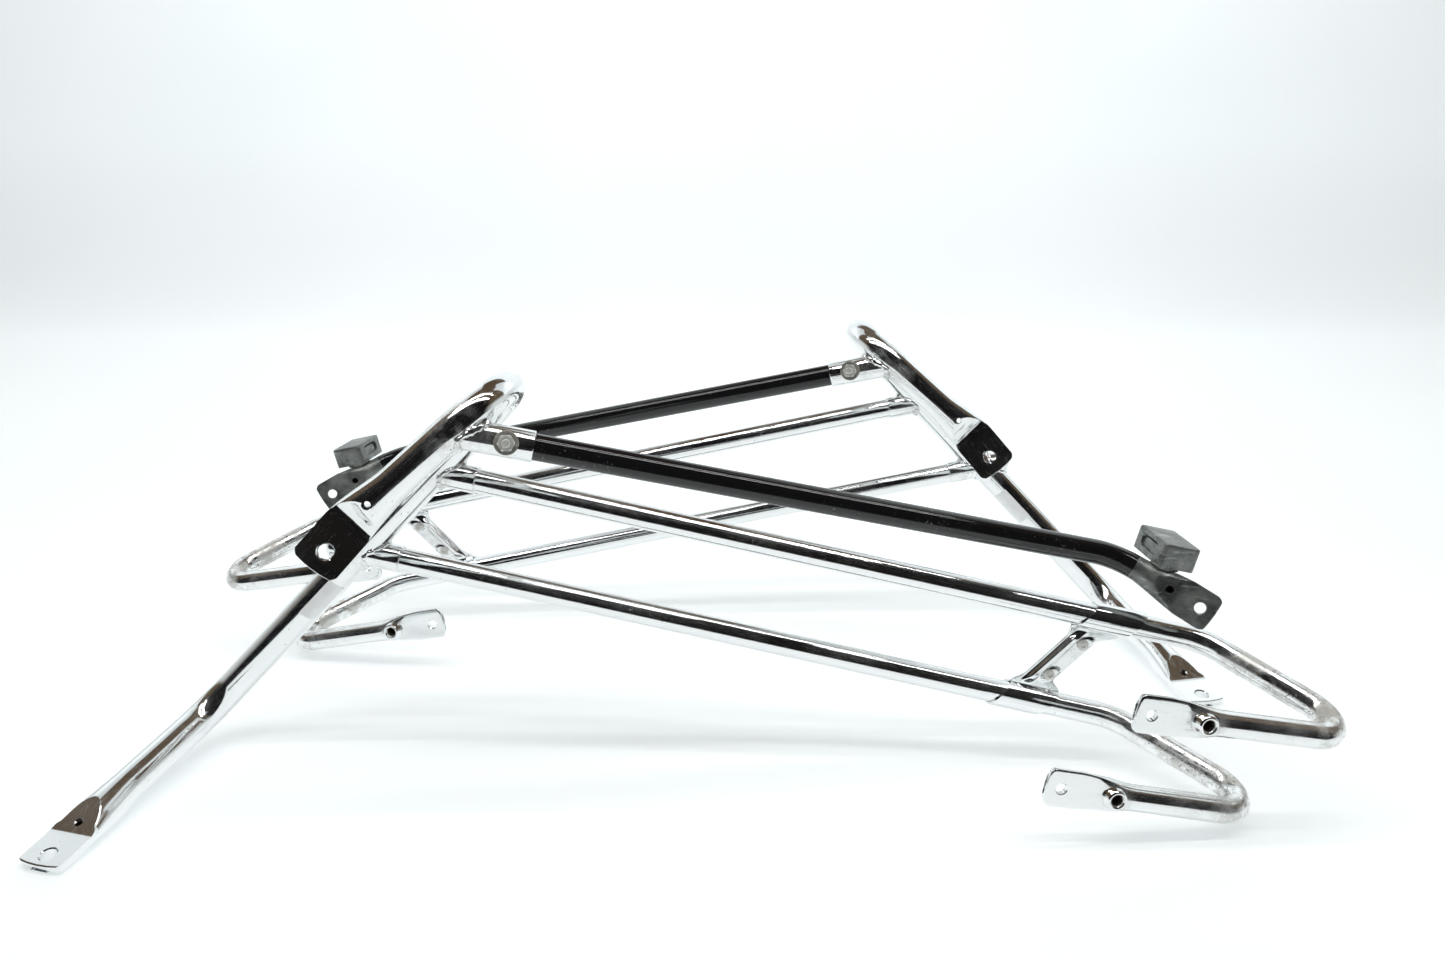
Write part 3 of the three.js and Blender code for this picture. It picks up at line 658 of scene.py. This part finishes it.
def makeHoop():
    line = centreLine([(footEnd, 0), (kink, hoop["kinkBend"]), (longTop, hoop["bend"]),
                       (shortTop, hoop["bend"]), (shortEnd, hoop["tabBend"]), (tabEnd, 0)], 3)
    marks, total = withStations(line, tabStations(footTab), tabStations(legTab))

    def shape(s, total, angle):
        if s < total / 2:
            return tabSection(hoopRadius, footTab, s, angle, -1)
        return tabSection(hoopRadius, legTab, total - s, angle, 1)

    piece = sweep("hoop_tube", marks, total, footWide, -hoopNormal, shape, 88)
    through, shallow = drilled["through"], drilled["shallow"]
    face = footTab["thick"] / 2
    inset, radius = footTab["bigHole"]
    holes = [bit(footEnd - footDirection * inset, footNormal, radius, face, through,
                 drilled["footLip"])]
    # The two small holes are blind bores in slot 1. Their dark brown walls and floors are painted
    # shade of the hollow tube's inside, with rust.
    inset, radius = footTab["smallHole"]
    rampSlope = (hoopRadius + press["above"] - face) / footTab["ramp"]
    face += (inset - footTab["flat"]) * rampSlope
    holes.append(bit(footEnd - footDirection * inset, footNormal, radius, face, shallow,
                     drilled["drainLip"], 1))
    inset, radius = legTab["bigHole"]
    holes.append(bit(tabEnd - tabRun * inset, tabNormal, radius, legTab["thick"] / 2, through,
                     drilled["legLip"]))
    inset, radius = legTab["smallHole"]
    holes.append(bit(shortEnd - tabRun * inset, tabNormal, radius, legTab["domeHigh"], shallow,
                     drilled["footLip"], 1))
    drill(piece, holes)
    dirty = nearTo((socketStart, 26, 0.9), (lowerJoint, 22, 0.5), (upperJoint, 22, 0.5),
                   (longTop, 60, 0.25))
    placePair(piece, "hoop", [chrome, boreRustAndPaintedShade], 24, dirty)


stub = {"outer": 10.8, "bore": 9.75, "from": 3, "reach": 34, "weld": 1.9, "filler": 0.75,
        "fillerRadius": 9.9, "plugShoulder": 4, "plugStraight": 20, "plugDome": 7, "plugWeld": 1.7}
socket = {"outer": 11.2, "bore": 9.8, "from": 4, "reach": 57, "weld": 2.2}
tipRadius = 0.01  # of a turned shape that closes on its axis


def edgedSleeve(outer, bore, start, end):
    return [(bore, start), (outer, start), (outer, end - 1.0), (outer - 0.35, end - 0.3),
            (outer - 0.9, end), (bore + 0.25, end), (bore, end - 0.3)]


def makeStubs():
    for name, joint in (("upper", upperJoint), ("lower", lowerJoint)):
        profile = edgedSleeve(stub["outer"], stub["bore"], stub["from"], stub["reach"])
        piece = lathe(f"{name}_stub_sleeve", profile, joint, railDirection, 64, True)
        placePair(piece, f"{name}_stub", [chrome], 28, nearTo((joint, 26, 0.8)))
        # a thin line of filler where the rail goes in
        loop, outs = [], []
        side = across(up, railDirection)
        other = railDirection.cross(side)
        count = 72
        for i in range(count):
            a = 2 * math.pi * i / count
            out = side * math.cos(a) + other * math.sin(a)
            loop.append(joint + railDirection * (stub["reach"] - 0.2)
                        + out * stub["fillerRadius"])
            outs.append(out)
        ring = bead(f"{name}_stub_edge", loop, outs, stub["filler"], 0.3, 3)
        placePair(ring, "", [weldChrome], 60)
        loop, outs = meeting(joint, railDirection, stub["outer"], legUp, hoopRadius)
        seam = bead(f"{name}_stub_weld", loop, outs, stub["weld"], 0.5, 5)
        placePair(seam, "", [weldChrome], 60, nearTo((joint, 40, 0.5)))
    dome = [(tipRadius, 0), (stub["outer"], stub["plugShoulder"])]
    for k in range(15):
        a = math.radians(6 * k)
        dome.append((stub["outer"] * math.cos(a),
                     stub["plugStraight"] + stub["plugDome"] * math.sin(a)))
    dome.append((tipRadius, stub["plugStraight"] + stub["plugDome"]))
    piece = lathe("plug_dome", dome, lowerJoint, -railDirection, 64)
    placePair(piece, "stub_plug", [chrome], 35, nearTo((lowerJoint, 24, 0.6)))
    loop, outs = meeting(lowerJoint, -railDirection, stub["outer"], legUp, hoopRadius)
    seam = bead("plug_weld", loop, outs, stub["plugWeld"], 0.5, 8)
    placePair(seam, "", [weldChrome], 60)


# Cross bolt through the socket. Profiles are (radius, height) along the bolt, from its middle;
# corners beyond the flats are cut back by hexagon().
bolt = {
    "flats": 5.45, "turned": 0.2, "shank": 2.95, "threadDeep": 0.16, "threadStep": 0.35,
    "washer": [(3.4, 11.5), (8.2, 11.5), (8.6, 11.8), (8.6, 12.4), (8.1, 12.8), (3.4, 12.8)],
    "nut": [(3.15, 13.1), (5.7, 13.1), (6.3, 13.6), (6.3, 16.6), (5.3, 17.6), (3.6, 17.65),
            (3.15, 17.2)],
    "head": [(tipRadius, -15.8), (5.5, -15.8), (6.3, -15.4), (6.3, -11.9), (2.95, -11.8)],
    "tip": [(2.3, 19.1), (tipRadius, 19.15)], "headEnd": -11.95,
}


def hexagon(r, z, a):
    corner = (a + bolt["turned"]) % (math.pi / 3) - math.pi / 6
    return min(r, bolt["flats"] / math.cos(corner)) if r > 4 else r


def headOnly(r, z, a):
    return hexagon(r, z, a) if z < bolt["headEnd"] else r


def makeSocket():
    profile = edgedSleeve(socket["outer"], socket["bore"], socket["from"], socket["reach"])
    piece = lathe("socket_sleeve", profile, socketStart, supportDirection, 72, True)
    placePair(piece, "socket", [chrome], 28,
              nearTo((boltPoint + boltAxis * 11, 14, 1.3), (socketStart, 22, 0.6)))
    loop, outs = meeting(socketStart, supportDirection, socket["outer"], shortDown, hoopRadius)
    seam = bead("socket_weld", loop, outs, socket["weld"], 0.6, 11)
    placePair(seam, "", [weldChrome], 60, nearTo((socketStart, 40, 0.7)))
    piece = lathe("washer_disc", bolt["washer"], boltPoint, boltAxis, 48, True)
    placePair(piece, "socket_washer", [dirtyZinc], 30)
    piece = lathe("hex_nut", bolt["nut"], boltPoint, boltAxis, 72, True, hexagon)
    placePair(piece, "socket_nut", [zincPlate], 26)
    thread = [(bolt["shank"] + bolt["threadDeep"] * math.sin(k * 2.2), k * bolt["threadStep"])
              for k in range(-30, 54)]
    shank = bolt["head"] + thread + bolt["tip"]
    piece = lathe("bolt_shank", shank, boltPoint, boltAxis, 48, False, headOnly)
    placePair(piece, "socket_bolt", [zincPlate], 26)


railTab = {"wide": 28, "thick": 4.5, "nose": 3, "round": 0.3, "flat": 24, "blend": 42,
           "deep": (36, 24), "bulge": 2.4}
bush = {"fromEnd": 51, "bore": 4.1, "drillTop": 9, "flare": [
    (9.6, 2.6), (9.0, 4.8), (8.2, 6.6), (7.6, 7.8), (7.2, 8.8), (6.7, 9.5), (6.1, 9.8),
    (5.4, 9.7), (4.7, 9.2)], "low": 2.6, "inner": 8.2}


def railPlan(joint):
    bend = joint + railDirection * rail["run"]
    turn = bend + Vector(rail["turnCorner"])
    end = turn + Vector(rail["frontArm"])
    if joint == lowerJoint:
        turn += Vector(rail["lowerTurnShift"])
        end += Vector(rail["lowerTurnShift"]) + Vector(rail["lowerArmShift"])
    arm = (end - turn).normalized()
    normal = across(Vector((0, -1, 0.12)), arm)
    return bend, turn, end, arm, normal


def makeRails():
    for name, joint in (("upper", upperJoint), ("lower", lowerJoint)):
        bend, turn, end, arm, normal = railPlan(joint)
        line = centreLine([(joint + railDirection * rail["start"], 0), (bend, rail["backBend"]),
                           (turn, rail["turnBend"]), (end, 0)], 3)
        marks, total = withStations(line, [0.5], tabStations(railTab))
        radius = rail["tubeDia"] / 2

        def shape(s, total, angle):
            return tabSection(radius, railTab, total - s, angle, 1)

        piece = sweep(f"{name}_rail_tube", marks, total, arm.cross(normal), arm.cross(normal),
                      shape, 64)
        bushAt = end - arm * bush["fromEnd"]
        # The bush's bore is blind and in slot 1. Its dark brown wall and floor are painted shade
        # of the hollow inside, with rust.
        holes = [bit(end - arm * rail["holeInset"], normal, rail["hole"] / 2,
                     railTab["thick"] / 2, drilled["through"], 0.5),
                 bit(bushAt, normal, bush["bore"], bush["drillTop"], 1, 0.2, 1)]
        drill(piece, holes)
        armTop = turn + up * 8
        dirty = nearTo((armTop, 62, 0.9), ((bend + turn) / 2 + up * 8, 80, 0.8),
                       (bushAt + normal * 9, 16, 0.6), (clampLower, 10, 0.2))
        placePair(piece, f"{name}_rail", [dustyChrome, boreRustAndPaintedShade], 24, dirty)
        ring = [(bush["bore"], bush["low"])] + bush["flare"] + [(bush["bore"], bush["inner"])]
        piece = lathe(f"{name}_bush_ring", ring, bushAt, normal, 56, True)
        placePair(piece, f"{name}_bush", [chrome], 40,
                  nearTo((bushAt + normal * 10, 7, 1.4)))


supportTab = {"wide": 29, "thick": 5, "nose": 5, "round": 0.35, "flat": 24, "blend": 38,
              "ramp": 26, "puff": 2.6, "bulge": 1.0, "bigHole": (11, 4.3), "smallHole": (36, 2.8),
              "smallHoleTop": 6.0}


def makeSupport():
    line = centreLine([(socketStart + supportDirection * support["inset"], 0),
                       (supportKnee, support["bend"]), (supportTip, 0)], 2.5)
    marks, total = withStations(line, [0.5], tabStations(supportTab))
    width = supportArm.cross(supportNormal)

    def shape(s, total, angle):
        return tabSection(support["tubeDia"] / 2, supportTab, total - s, angle, 1)

    piece = sweep("support_tube", marks, total, width, width, shape, 64)
    inset, radius = supportTab["bigHole"]
    holes = [bit(supportTip - supportArm * inset, supportNormal, radius, supportTab["thick"] / 2,
                 drilled["through"], 0.9)]
    # The small hole is a blind bore in slot 1. Its dark brown wall and floor are painted shade of
    # the hollow tube's inside, with rust.
    inset, radius = supportTab["smallHole"]
    holes.append(bit(supportTip - supportArm * inset, supportNormal, radius,
                     supportTab["smallHoleTop"], drilled["shallow"], 0.8, 1))
    drill(piece, holes)
    mesh = piece.data
    mesh.materials.append(wornLatch)
    bareFrom = supportTip - supportArm * support["bareFrom"]  # the paint stops here
    for polygon in mesh.polygons:
        if polygon.material_index == 0 and (polygon.center - bareFrom).dot(supportArm) > 0:
            polygon.material_index = 2
    placePair(piece, "support_rail", [blackPaint, boreRustAndPaintedShade, wornLatch], 24)


# Box standing on origin along three axes, with rounded upright corners, a softened top edge and
# a top that is domed across its length
def roundedBox(name, origin, axes, size, corner, edge, dome):
    xAxis, yAxis, zAxis = axes
    sizeX, sizeY, sizeZ = size
    outline = []
    for cx, cy, first in ((1, 1, 0), (-1, 1, 90), (-1, -1, 180), (1, -1, 270)):
        for k in range(9):
            a = math.radians(first + 90 * k / 8)
            outline.append((cx * (sizeX / 2 - corner), cy * (sizeY / 2 - corner),
                            math.cos(a), math.sin(a)))
    verts = []
    levels = [(0, 0), (sizeZ * 0.5, 0)]  # height, and how far the outline is drawn in
    for k in range(7):
        a = math.radians(15 * k)
        levels.append((sizeZ - edge + edge * math.sin(a), edge * (1 - math.cos(a))))
    shrink = [1] * len(levels) + [0.85, 0.65, 0.45, 0.25, 0.08]  # the last rings close the top
    count = len(outline)
    for i, factor in enumerate(shrink):
        z, inset = levels[min(i, len(levels) - 1)]
        for x, y, c, s in outline:
            px = (x + c * (corner - inset)) * factor
            py = (y + s * (corner - inset)) * factor
            lift = dome * (1 - (2 * py / sizeY) ** 2) * smooth(z, sizeZ * 0.5, sizeZ)
            verts.append(origin + xAxis * px + yAxis * py + zAxis * (z + lift))
    last = (len(shrink) - 1) * count
    ends = [tuple(range(count)), tuple(range(last, last + count))]
    piece = makeMesh(name, verts, ringFaces(len(shrink), count), None, ends)
    fixNormals(piece)
    return piece


latch = {"size": (29, 45, 20), "back": 54, "stand": 11, "shift": 9, "skew": 3, "sheet": 2,
         "corner": 3.2, "edge": 1.6, "dome": 1.6, "slot": (26, 10), "slotAt": 5, "slotCorner": 4.2,
         "tongue": (23, 8.8, 4.6), "weld": 1.9, "weldSize": (8.5, 6.0)}


def makeLatch():
    long, deep, high = latch["size"]
    xAxis = heading(support["yaw"] - latch["skew"], -support["fall"])
    yAxis = up.cross(xAxis).normalized()
    zAxis = xAxis.cross(yAxis).normalized()
    boxAxes, slotAxes = (xAxis, yAxis, zAxis), (yAxis, zAxis, -xAxis)
    base = supportTip - supportArm * latch["back"] + zAxis * latch["stand"]
    sideways = yAxis * (deep / 2 - latch["shift"])
    middle = base + xAxis * long / 2 + sideways
    wallHigh = high - latch["dome"]
    piece = roundedBox("latch_shell", middle, boxAxes, (long, deep, wallHigh), latch["corner"],
                       latch["edge"], latch["dome"])
    inside = 2 * latch["sheet"]
    hollow = roundedBox("hollow", middle - zAxis * 3, boxAxes,
                        (long - inside, deep - inside, wallHigh), 1.8, 0.6, 0)
    face = base + sideways + zAxis * high * 0.5
    opening = roundedBox("opening", face + xAxis * latch["slotAt"], slotAxes, (*latch["slot"], 12),
                         latch["slotCorner"], 0.3, 0)
    drill(piece, [hollow, opening])
    placePair(piece, "latch_box", [wornLatch, boreRustAndPaintedShade], 26)
    tongue = roundedBox("latch_tongue", face + xAxis * 6 - zAxis * 1.3 - yAxis * 1.2, slotAxes,
                        latch["tongue"], 3.4, 0.8, 0)
    placePair(tongue, "", [wornLatch], 30)
    weldX, weldY = latch["weldSize"]
    loop, outs = [], []
    for k in range(60):  # bead between the box and the flattened rail
        a = 2 * math.pi * k / 60
        loop.append(base + xAxis * (9 + weldX * math.cos(a)) + yAxis * (-2 + weldY * math.sin(a))
                    - zAxis * 0.3)
        outs.append((xAxis * math.cos(a) + yAxis * math.sin(a) - zAxis * 0.4).normalized())
    seam = bead("latch_weld", loop, outs, latch["weld"], 0.8, 21)
    placePair(seam, "", [wornLatch], 60)


def clampPoint(a, v, c):
    return clampLower + railDirection * a + clampIn * v + clampOut * c


# One stamped half of the clamp link: a sheet that is bowed over both rails, with a narrow web
# between them, a rib along its edge and a round boss for each screw. side is 1 or -1.
def clampShell(side):
    outer = clamp["inner"] + clamp["sheet"]
    pitch = clampPitch
    rows = [-outer * math.cos(math.radians(k * 5)) for k in range(19)]
    steps = 78
    rows += [pitch * (k + 1) / (steps + 1) for k in range(steps)]
    rows += [pitch + outer * math.sin(math.radians(k * 5)) for k in range(19)]
    screws = [clampUp.dot(clampIn) * s for s in clamp["screws"]]
    columns = 52
    verts = []
    for v in rows:
        near = min(max(0, v), max(0, pitch - v)) if 0 < v < pitch else 0
        web = smooth(near, outer - 1.0, outer + 9)
        left = mix(-clamp["sleeve"] / 2, -clamp["before"], web)
        right = mix(clamp["sleeve"] / 2, clamp["behind"], web)
        for s in screws:
            gap = 1 - ((v - s) / (clamp["boss"] + 1)) ** 2
            if gap > 0:
                right = max(right, (clamp["boss"] + 1) * math.sqrt(gap))
        for k in range(columns + 1):
            u = mix(left, right, k / columns)
            height = clamp["webHigh"] if -0.01 < v < pitch + 0.01 else 0
            tubes = [math.sqrt(max(0, outer ** 2 - (v - centre) ** 2)) for centre in (0, pitch)]
            tall = max(tubes)
            soft = clamp["fillet"]
            if tall > 0.01 and height > 0:
                h = max(0, soft - abs(tall - height)) / soft
                height = max(tall, height) + h * h * soft / 4
            else:
                height = max(tall, height)
            if web > 0:
                rib = smooth(abs(u - clamp["ribAt"]), 5.2, 1.6) * clamp["rib"]
                height += rib * smooth(near, outer + 1, outer + 9)
                for s in screws:
                    d = math.hypot(u, v - s)
                    height = mix(height, clamp["bossHigh"],
                                 smooth(d, clamp["boss"] + 0.7, clamp["boss"] - 0.5))
            verts.append(clampPoint(u + v * clampSlope, v, side * height))
    name = "clamp_shell_front" if side > 0 else "clamp_shell_back"
    piece = makeMesh(name, verts, sheetFaces(len(rows) - 1, columns))
    middle = piece.data.polygons[len(piece.data.polygons) // 2]
    if middle.normal.dot(clampOut) * side < 0:
        piece.data.flip_normals()
    thicken(piece, clamp["sheet"])
    placePair(piece, "clamp_front" if side > 0 else "clamp_back", [chrome], 40,
              nearTo((clampLower + clampUp * 46, 30, 0.15)))


# Profiles are (radius, height) along the screw, from the middle of the sheet pair
screw = {
    "head": [(tipRadius, 2.4), (4.1, 2.4), (4.4, 3.0), (4.3, 4.2), (3.7, 5.2), (2.6, 5.6),
             (1.9, 5.6), (1.7, 4.2), (tipRadius, 4.0)],
    "nut": [(2.5, -2.6), (4.4, -2.6), (4.6, -3.0), (4.6, -5.0), (4.2, -5.5), (2.5, -5.5)],
    "tip": [(tipRadius, -6.4), (2.1, -6.4), (2.5, -6.0), (2.5, -2.0), (tipRadius, -2.0)],
    "nutFlats": 4.0, "keySize": 0.9,
}


def keySocket(r, z, a):  # six-sided recess in the screw's head
    corner = a % (math.pi / 3) - math.pi / 6
    return r * screw["keySize"] / math.cos(corner) if 1 < r < 2 else r


def smallHexagon(r, z, a):
    corner = a % (math.pi / 3) - math.pi / 6
    return min(r, screw["nutFlats"] / math.cos(corner)) if r > 3.5 else r


def makeClamp():
    clampShell(1)
    clampShell(-1)
    for name, reach in zip(("low", "high"), clamp["screws"]):
        at = clampLower + clampUp * reach
        piece = lathe(f"clamp_screw_head_{name}", screw["head"], at, clampOut, 48, False,
                      keySocket)
        placePair(piece, f"clamp_screw_{name}", [zincPlate], 28)
        piece = lathe(f"clamp_nut_hex_{name}", screw["nut"], at, clampOut, 48, True, smallHexagon)
        placePair(piece, f"clamp_nut_{name}", [zincPlate], 26)
        piece = lathe(f"clamp_screw_tip_{name}", screw["tip"], at, clampOut, 32)
        placePair(piece, "", [zincPlate], 28)


paper = {"long": 38, "wrap": 1.15, "below": 49, "thick": 0.1, "proud": 0.12, "ripple": 0.05,
         "facing": (0.35, -1, -0.25)}  # wrap is the angle round the tube, in radians


def makeLabel():
    out = across(Vector(paper["facing"]), legUp)
    side = legUp.cross(out)
    centre = lowerJoint - legUp * paper["below"]
    verts = []
    rows, columns = 24, 20
    for i in range(rows + 1):
        for k in range(columns + 1):
            s = (i / rows - 0.5) * paper["long"]
            a = (k / columns - 0.5) * paper["wrap"]
            wave = paper["ripple"] * noise.noise(Vector((s * 0.3, a * 5, 0)))
            reach = hoopRadius + paper["proud"] + wave
            verts.append(centre + legUp * s + (out * math.cos(a) + side * math.sin(a)) * reach)
    piece = makeMesh("leg_label", verts, sheetFaces(rows, columns))
    if piece.data.polygons[0].normal.dot(out) < 0:
        piece.data.flip_normals()
    thicken(piece, paper["thick"])
    placePair(piece, "", [label], 60)


makeHoop()
print("hoops made")
makeStubs()
makeSocket()
print("stubs and sockets made")
makeRails()
print("rails made")
makeSupport()
makeLatch()
print("support rails and latch boxes made")
makeClamp()
makeLabel()
print("clamp links made")


# The stage is in metres. The pale board runs up into a wall behind; the cards are seen only in
# the chrome: two tall pale ones left and right of the wall, and a dark one on the floor in front.
studio = {"floorHalf": 3.2, "wallAt": 2.4, "wallHigh": 2.2, "curve": 0.5, "glow": 0.42,
          "ringRadius": 3.4, "ringHigh": 3.4, "wallGlow": 1.3, "glowTint": (0.93, 0.985, 1.0),
          "cardFrom": 27, "cardTo": 68, "cardRadius": 2.6, "cardLow": 0.75, "cardHigh": 4.4,
          "darkEdge": -0.66, "gap": 0.0002}


def makeBackdrop():
    profile = [(-studio["floorHalf"], 0), (studio["wallAt"] - studio["curve"], 0)]
    for k in range(1, 13):
        a = math.radians(90 * k / 12)
        profile.append((studio["wallAt"] - studio["curve"] + studio["curve"] * math.sin(a),
                        studio["curve"] * (1 - math.cos(a))))
    profile.append((studio["wallAt"], studio["wallHigh"]))
    verts, faces = [], []
    for y, z in profile:
        for x in (-studio["floorHalf"], studio["floorHalf"]):
            verts.append((x, y, z - studio["gap"]))
    for i in range(len(profile) - 1):
        faces.append((i * 2, i * 2 + 1, i * 2 + 3, i * 2 + 2))
    piece = makeMesh("backdrop", verts, faces)
    piece.data.polygons.foreach_set("use_smooth", [True] * len(faces))
    material, tree, shader = newMaterial("paleBoard", (0.80, 0.825, 0.83), 0, 0.55)
    place = placeOutput(tree)
    cloud = noiseNode(tree, place, 1.7, 4)
    scuff = noiseNode(tree, place, 38, 5, 0.75, (0.4, 1, 1))
    colour = blendColour(tree, ramp(tree, cloud, 0.35, 0.7), (0.79, 0.82, 0.825),
                         (0.83, 0.85, 0.855))
    colour = blendColour(tree, ramp(tree, scuff, 0.70, 0.80, 0, 0.25), colour, (0.62, 0.62, 0.61))
    tree.links.new(colour, shader.inputs["Base Color"])
    shader.inputs["Emission Color"].default_value = (*studio["glowTint"], 1)
    shader.inputs["Emission Strength"].default_value = studio["glow"]
    piece.data.materials.append(material)


def makeCard(name, points, faces, material):  # a card that shows only in reflections
    card = makeMesh(name, points, faces)
    card.data.materials.append(material)
    card.visible_camera = False
    card.visible_diffuse = False
    card.visible_shadow = False


# Pale ring wall that only the camera sees, and the cards that only mirrors see
def makeSurround():
    ring = []
    count = 64
    for k in range(count):
        a = 2 * math.pi * k / count
        ring.append((studio["ringRadius"] * math.cos(a), studio["ringRadius"] * math.sin(a)))
    verts = [(x, y, z) for z in (-0.05, studio["ringHigh"]) for x, y in ring]
    faces = [(k, (k + 1) % count, count + (k + 1) % count, count + k) for k in range(count)]
    wall = makeMesh("surround", verts, faces)
    material, tree, shader = newMaterial("paleWall", (0.80, 0.825, 0.83), 0, 0.6)
    cloud = noiseNode(tree, placeOutput(tree), 1.2, 3)
    colour = blendColour(tree, ramp(tree, cloud, 0.35, 0.7), (0.79, 0.82, 0.825),
                         (0.83, 0.85, 0.855))
    tree.links.new(colour, shader.inputs["Base Color"])
    shader.inputs["Emission Color"].default_value = (*studio["glowTint"], 1)
    shader.inputs["Emission Strength"].default_value = studio["glow"] * studio["wallGlow"]
    wall.data.materials.append(material)
    wall.visible_glossy = False
    wall.visible_diffuse = False
    wall.visible_shadow = False
    far, parts = studio["cardRadius"], 8
    faces = [(k * 2, k * 2 + 2, k * 2 + 3, k * 2 + 1) for k in range(parts)]
    for side in (-1, 1):
        points = []
        for k in range(parts + 1):
            a = math.radians(mix(studio["cardFrom"], studio["cardTo"], k / parts))
            for z in (studio["cardLow"], studio["cardHigh"]):
                points.append((side * far * math.sin(a), far * math.cos(a), z))
        makeCard("sideCard", points, faces, material)
    half, edge, lift = studio["floorHalf"], studio["darkEdge"], studio["gap"]
    corners = [(-half, -half, lift), (half, -half, lift), (half, edge, lift), (-half, edge, lift)]
    felt = newMaterial("darkFelt", (0.012, 0.012, 0.013), 0, 0.9)[0]
    makeCard("darkCard", corners, [(0, 1, 2, 3)], felt)


def areaLight(name, place, target, size, power, tint):
    lamp = bpy.data.lights.new(name, "AREA")
    lamp.shape = "RECTANGLE"
    lamp.size, lamp.size_y = size
    lamp.energy = power
    lamp.color = tint
    holder = bpy.data.objects.new(name, lamp)
    holder.location = place
    holder.rotation_euler = (Vector(target) - Vector(place)).to_track_quat("-Z", "Y").to_euler()
    bpy.context.scene.collection.objects.link(holder)
    return holder


def makeRoom():  # dark brown ceiling overhead, black room in front, pale haze low at the back
    world = bpy.data.worlds.new("room")
    world.use_nodes = True
    tree = world.node_tree
    direction = addNode(tree, "ShaderNodeTexCoord").outputs["Generated"]
    parts = addNode(tree, "ShaderNodeSeparateXYZ", [("Vector", direction)])
    front = ramp(tree, parts.outputs["Y"], -0.10, -0.30)
    colour = blendColour(tree, front, (0.115, 0.082, 0.052), (0.006, 0.006, 0.007))
    cloud = noiseNode(tree, direction, 3.2, 3)
    colour = blendColour(tree, ramp(tree, cloud, 0.4, 0.75, 0, 0.5), colour, (0.02, 0.016, 0.012))
    low = ramp(tree, parts.outputs["Z"], 0.30, 0.12)
    sides = math2(tree, "MULTIPLY", low, ramp(tree, parts.outputs["Y"], -0.35, 0.0))
    colour = blendColour(tree, sides, colour, (0.72, 0.75, 0.75))
    tree.links.new(colour, tree.nodes["Background"].inputs["Color"])
    bpy.context.scene.world = world


# Place, what it points at, size and watts. The chrome doesn't mirror the soft lamps; the strips
# give it its fine bright lines.
lamps = {
    "softTop": ((0, -0.1, 2.1), (0, 0.3, 0), (3.6, 3.0), 14),
    "softFront": ((0, -1.9, 1.5), (0, 0.3, 0), (3.0, 1.2), 4),
    "softBack": ((0, 1.2, 1.9), (0, 2.4, 0.9), (3.4, 1.0), 16),
    "stripOver": ((0, -0.06, 1.75), (0, -0.1, 0), (2.6, 0.035), 7.2),
    "stripFront": ((0, -0.42, 1.65), (0, -0.1, 0), (2.6, 0.05), 9),
}


def makeLights():
    for name, (place, target, size, power) in lamps.items():
        soft = name.startswith("soft")
        tint = (0.97, 0.995, 1) if soft else (1, 1, 1)
        holder = areaLight(name, place, target, size, power, tint)
        holder.visible_glossy = not soft


viewpoint = {"focal": 26.11, "sensor": 36, "reach": 30, "from": (0, -0.780, 0.471), "down": 17.7}


def makeCamera():
    lens = bpy.data.cameras.new("viewpoint")
    lens.sensor_width = viewpoint["sensor"]
    lens.lens = viewpoint["focal"]
    lens.clip_end = viewpoint["reach"]
    holder = bpy.data.objects.new("viewpoint", lens)
    holder.location = nearOrigin + Vector(viewpoint["from"])
    holder.rotation_euler = (math.radians(90 - viewpoint["down"]), 0, 0)
    bpy.context.scene.collection.objects.link(holder)
    bpy.context.scene.camera = holder


makeBackdrop()
makeSurround()
makeRoom()
makeLights()
makeCamera()
bpy.context.scene.view_settings.view_transform = "Standard"
print("stage ready")
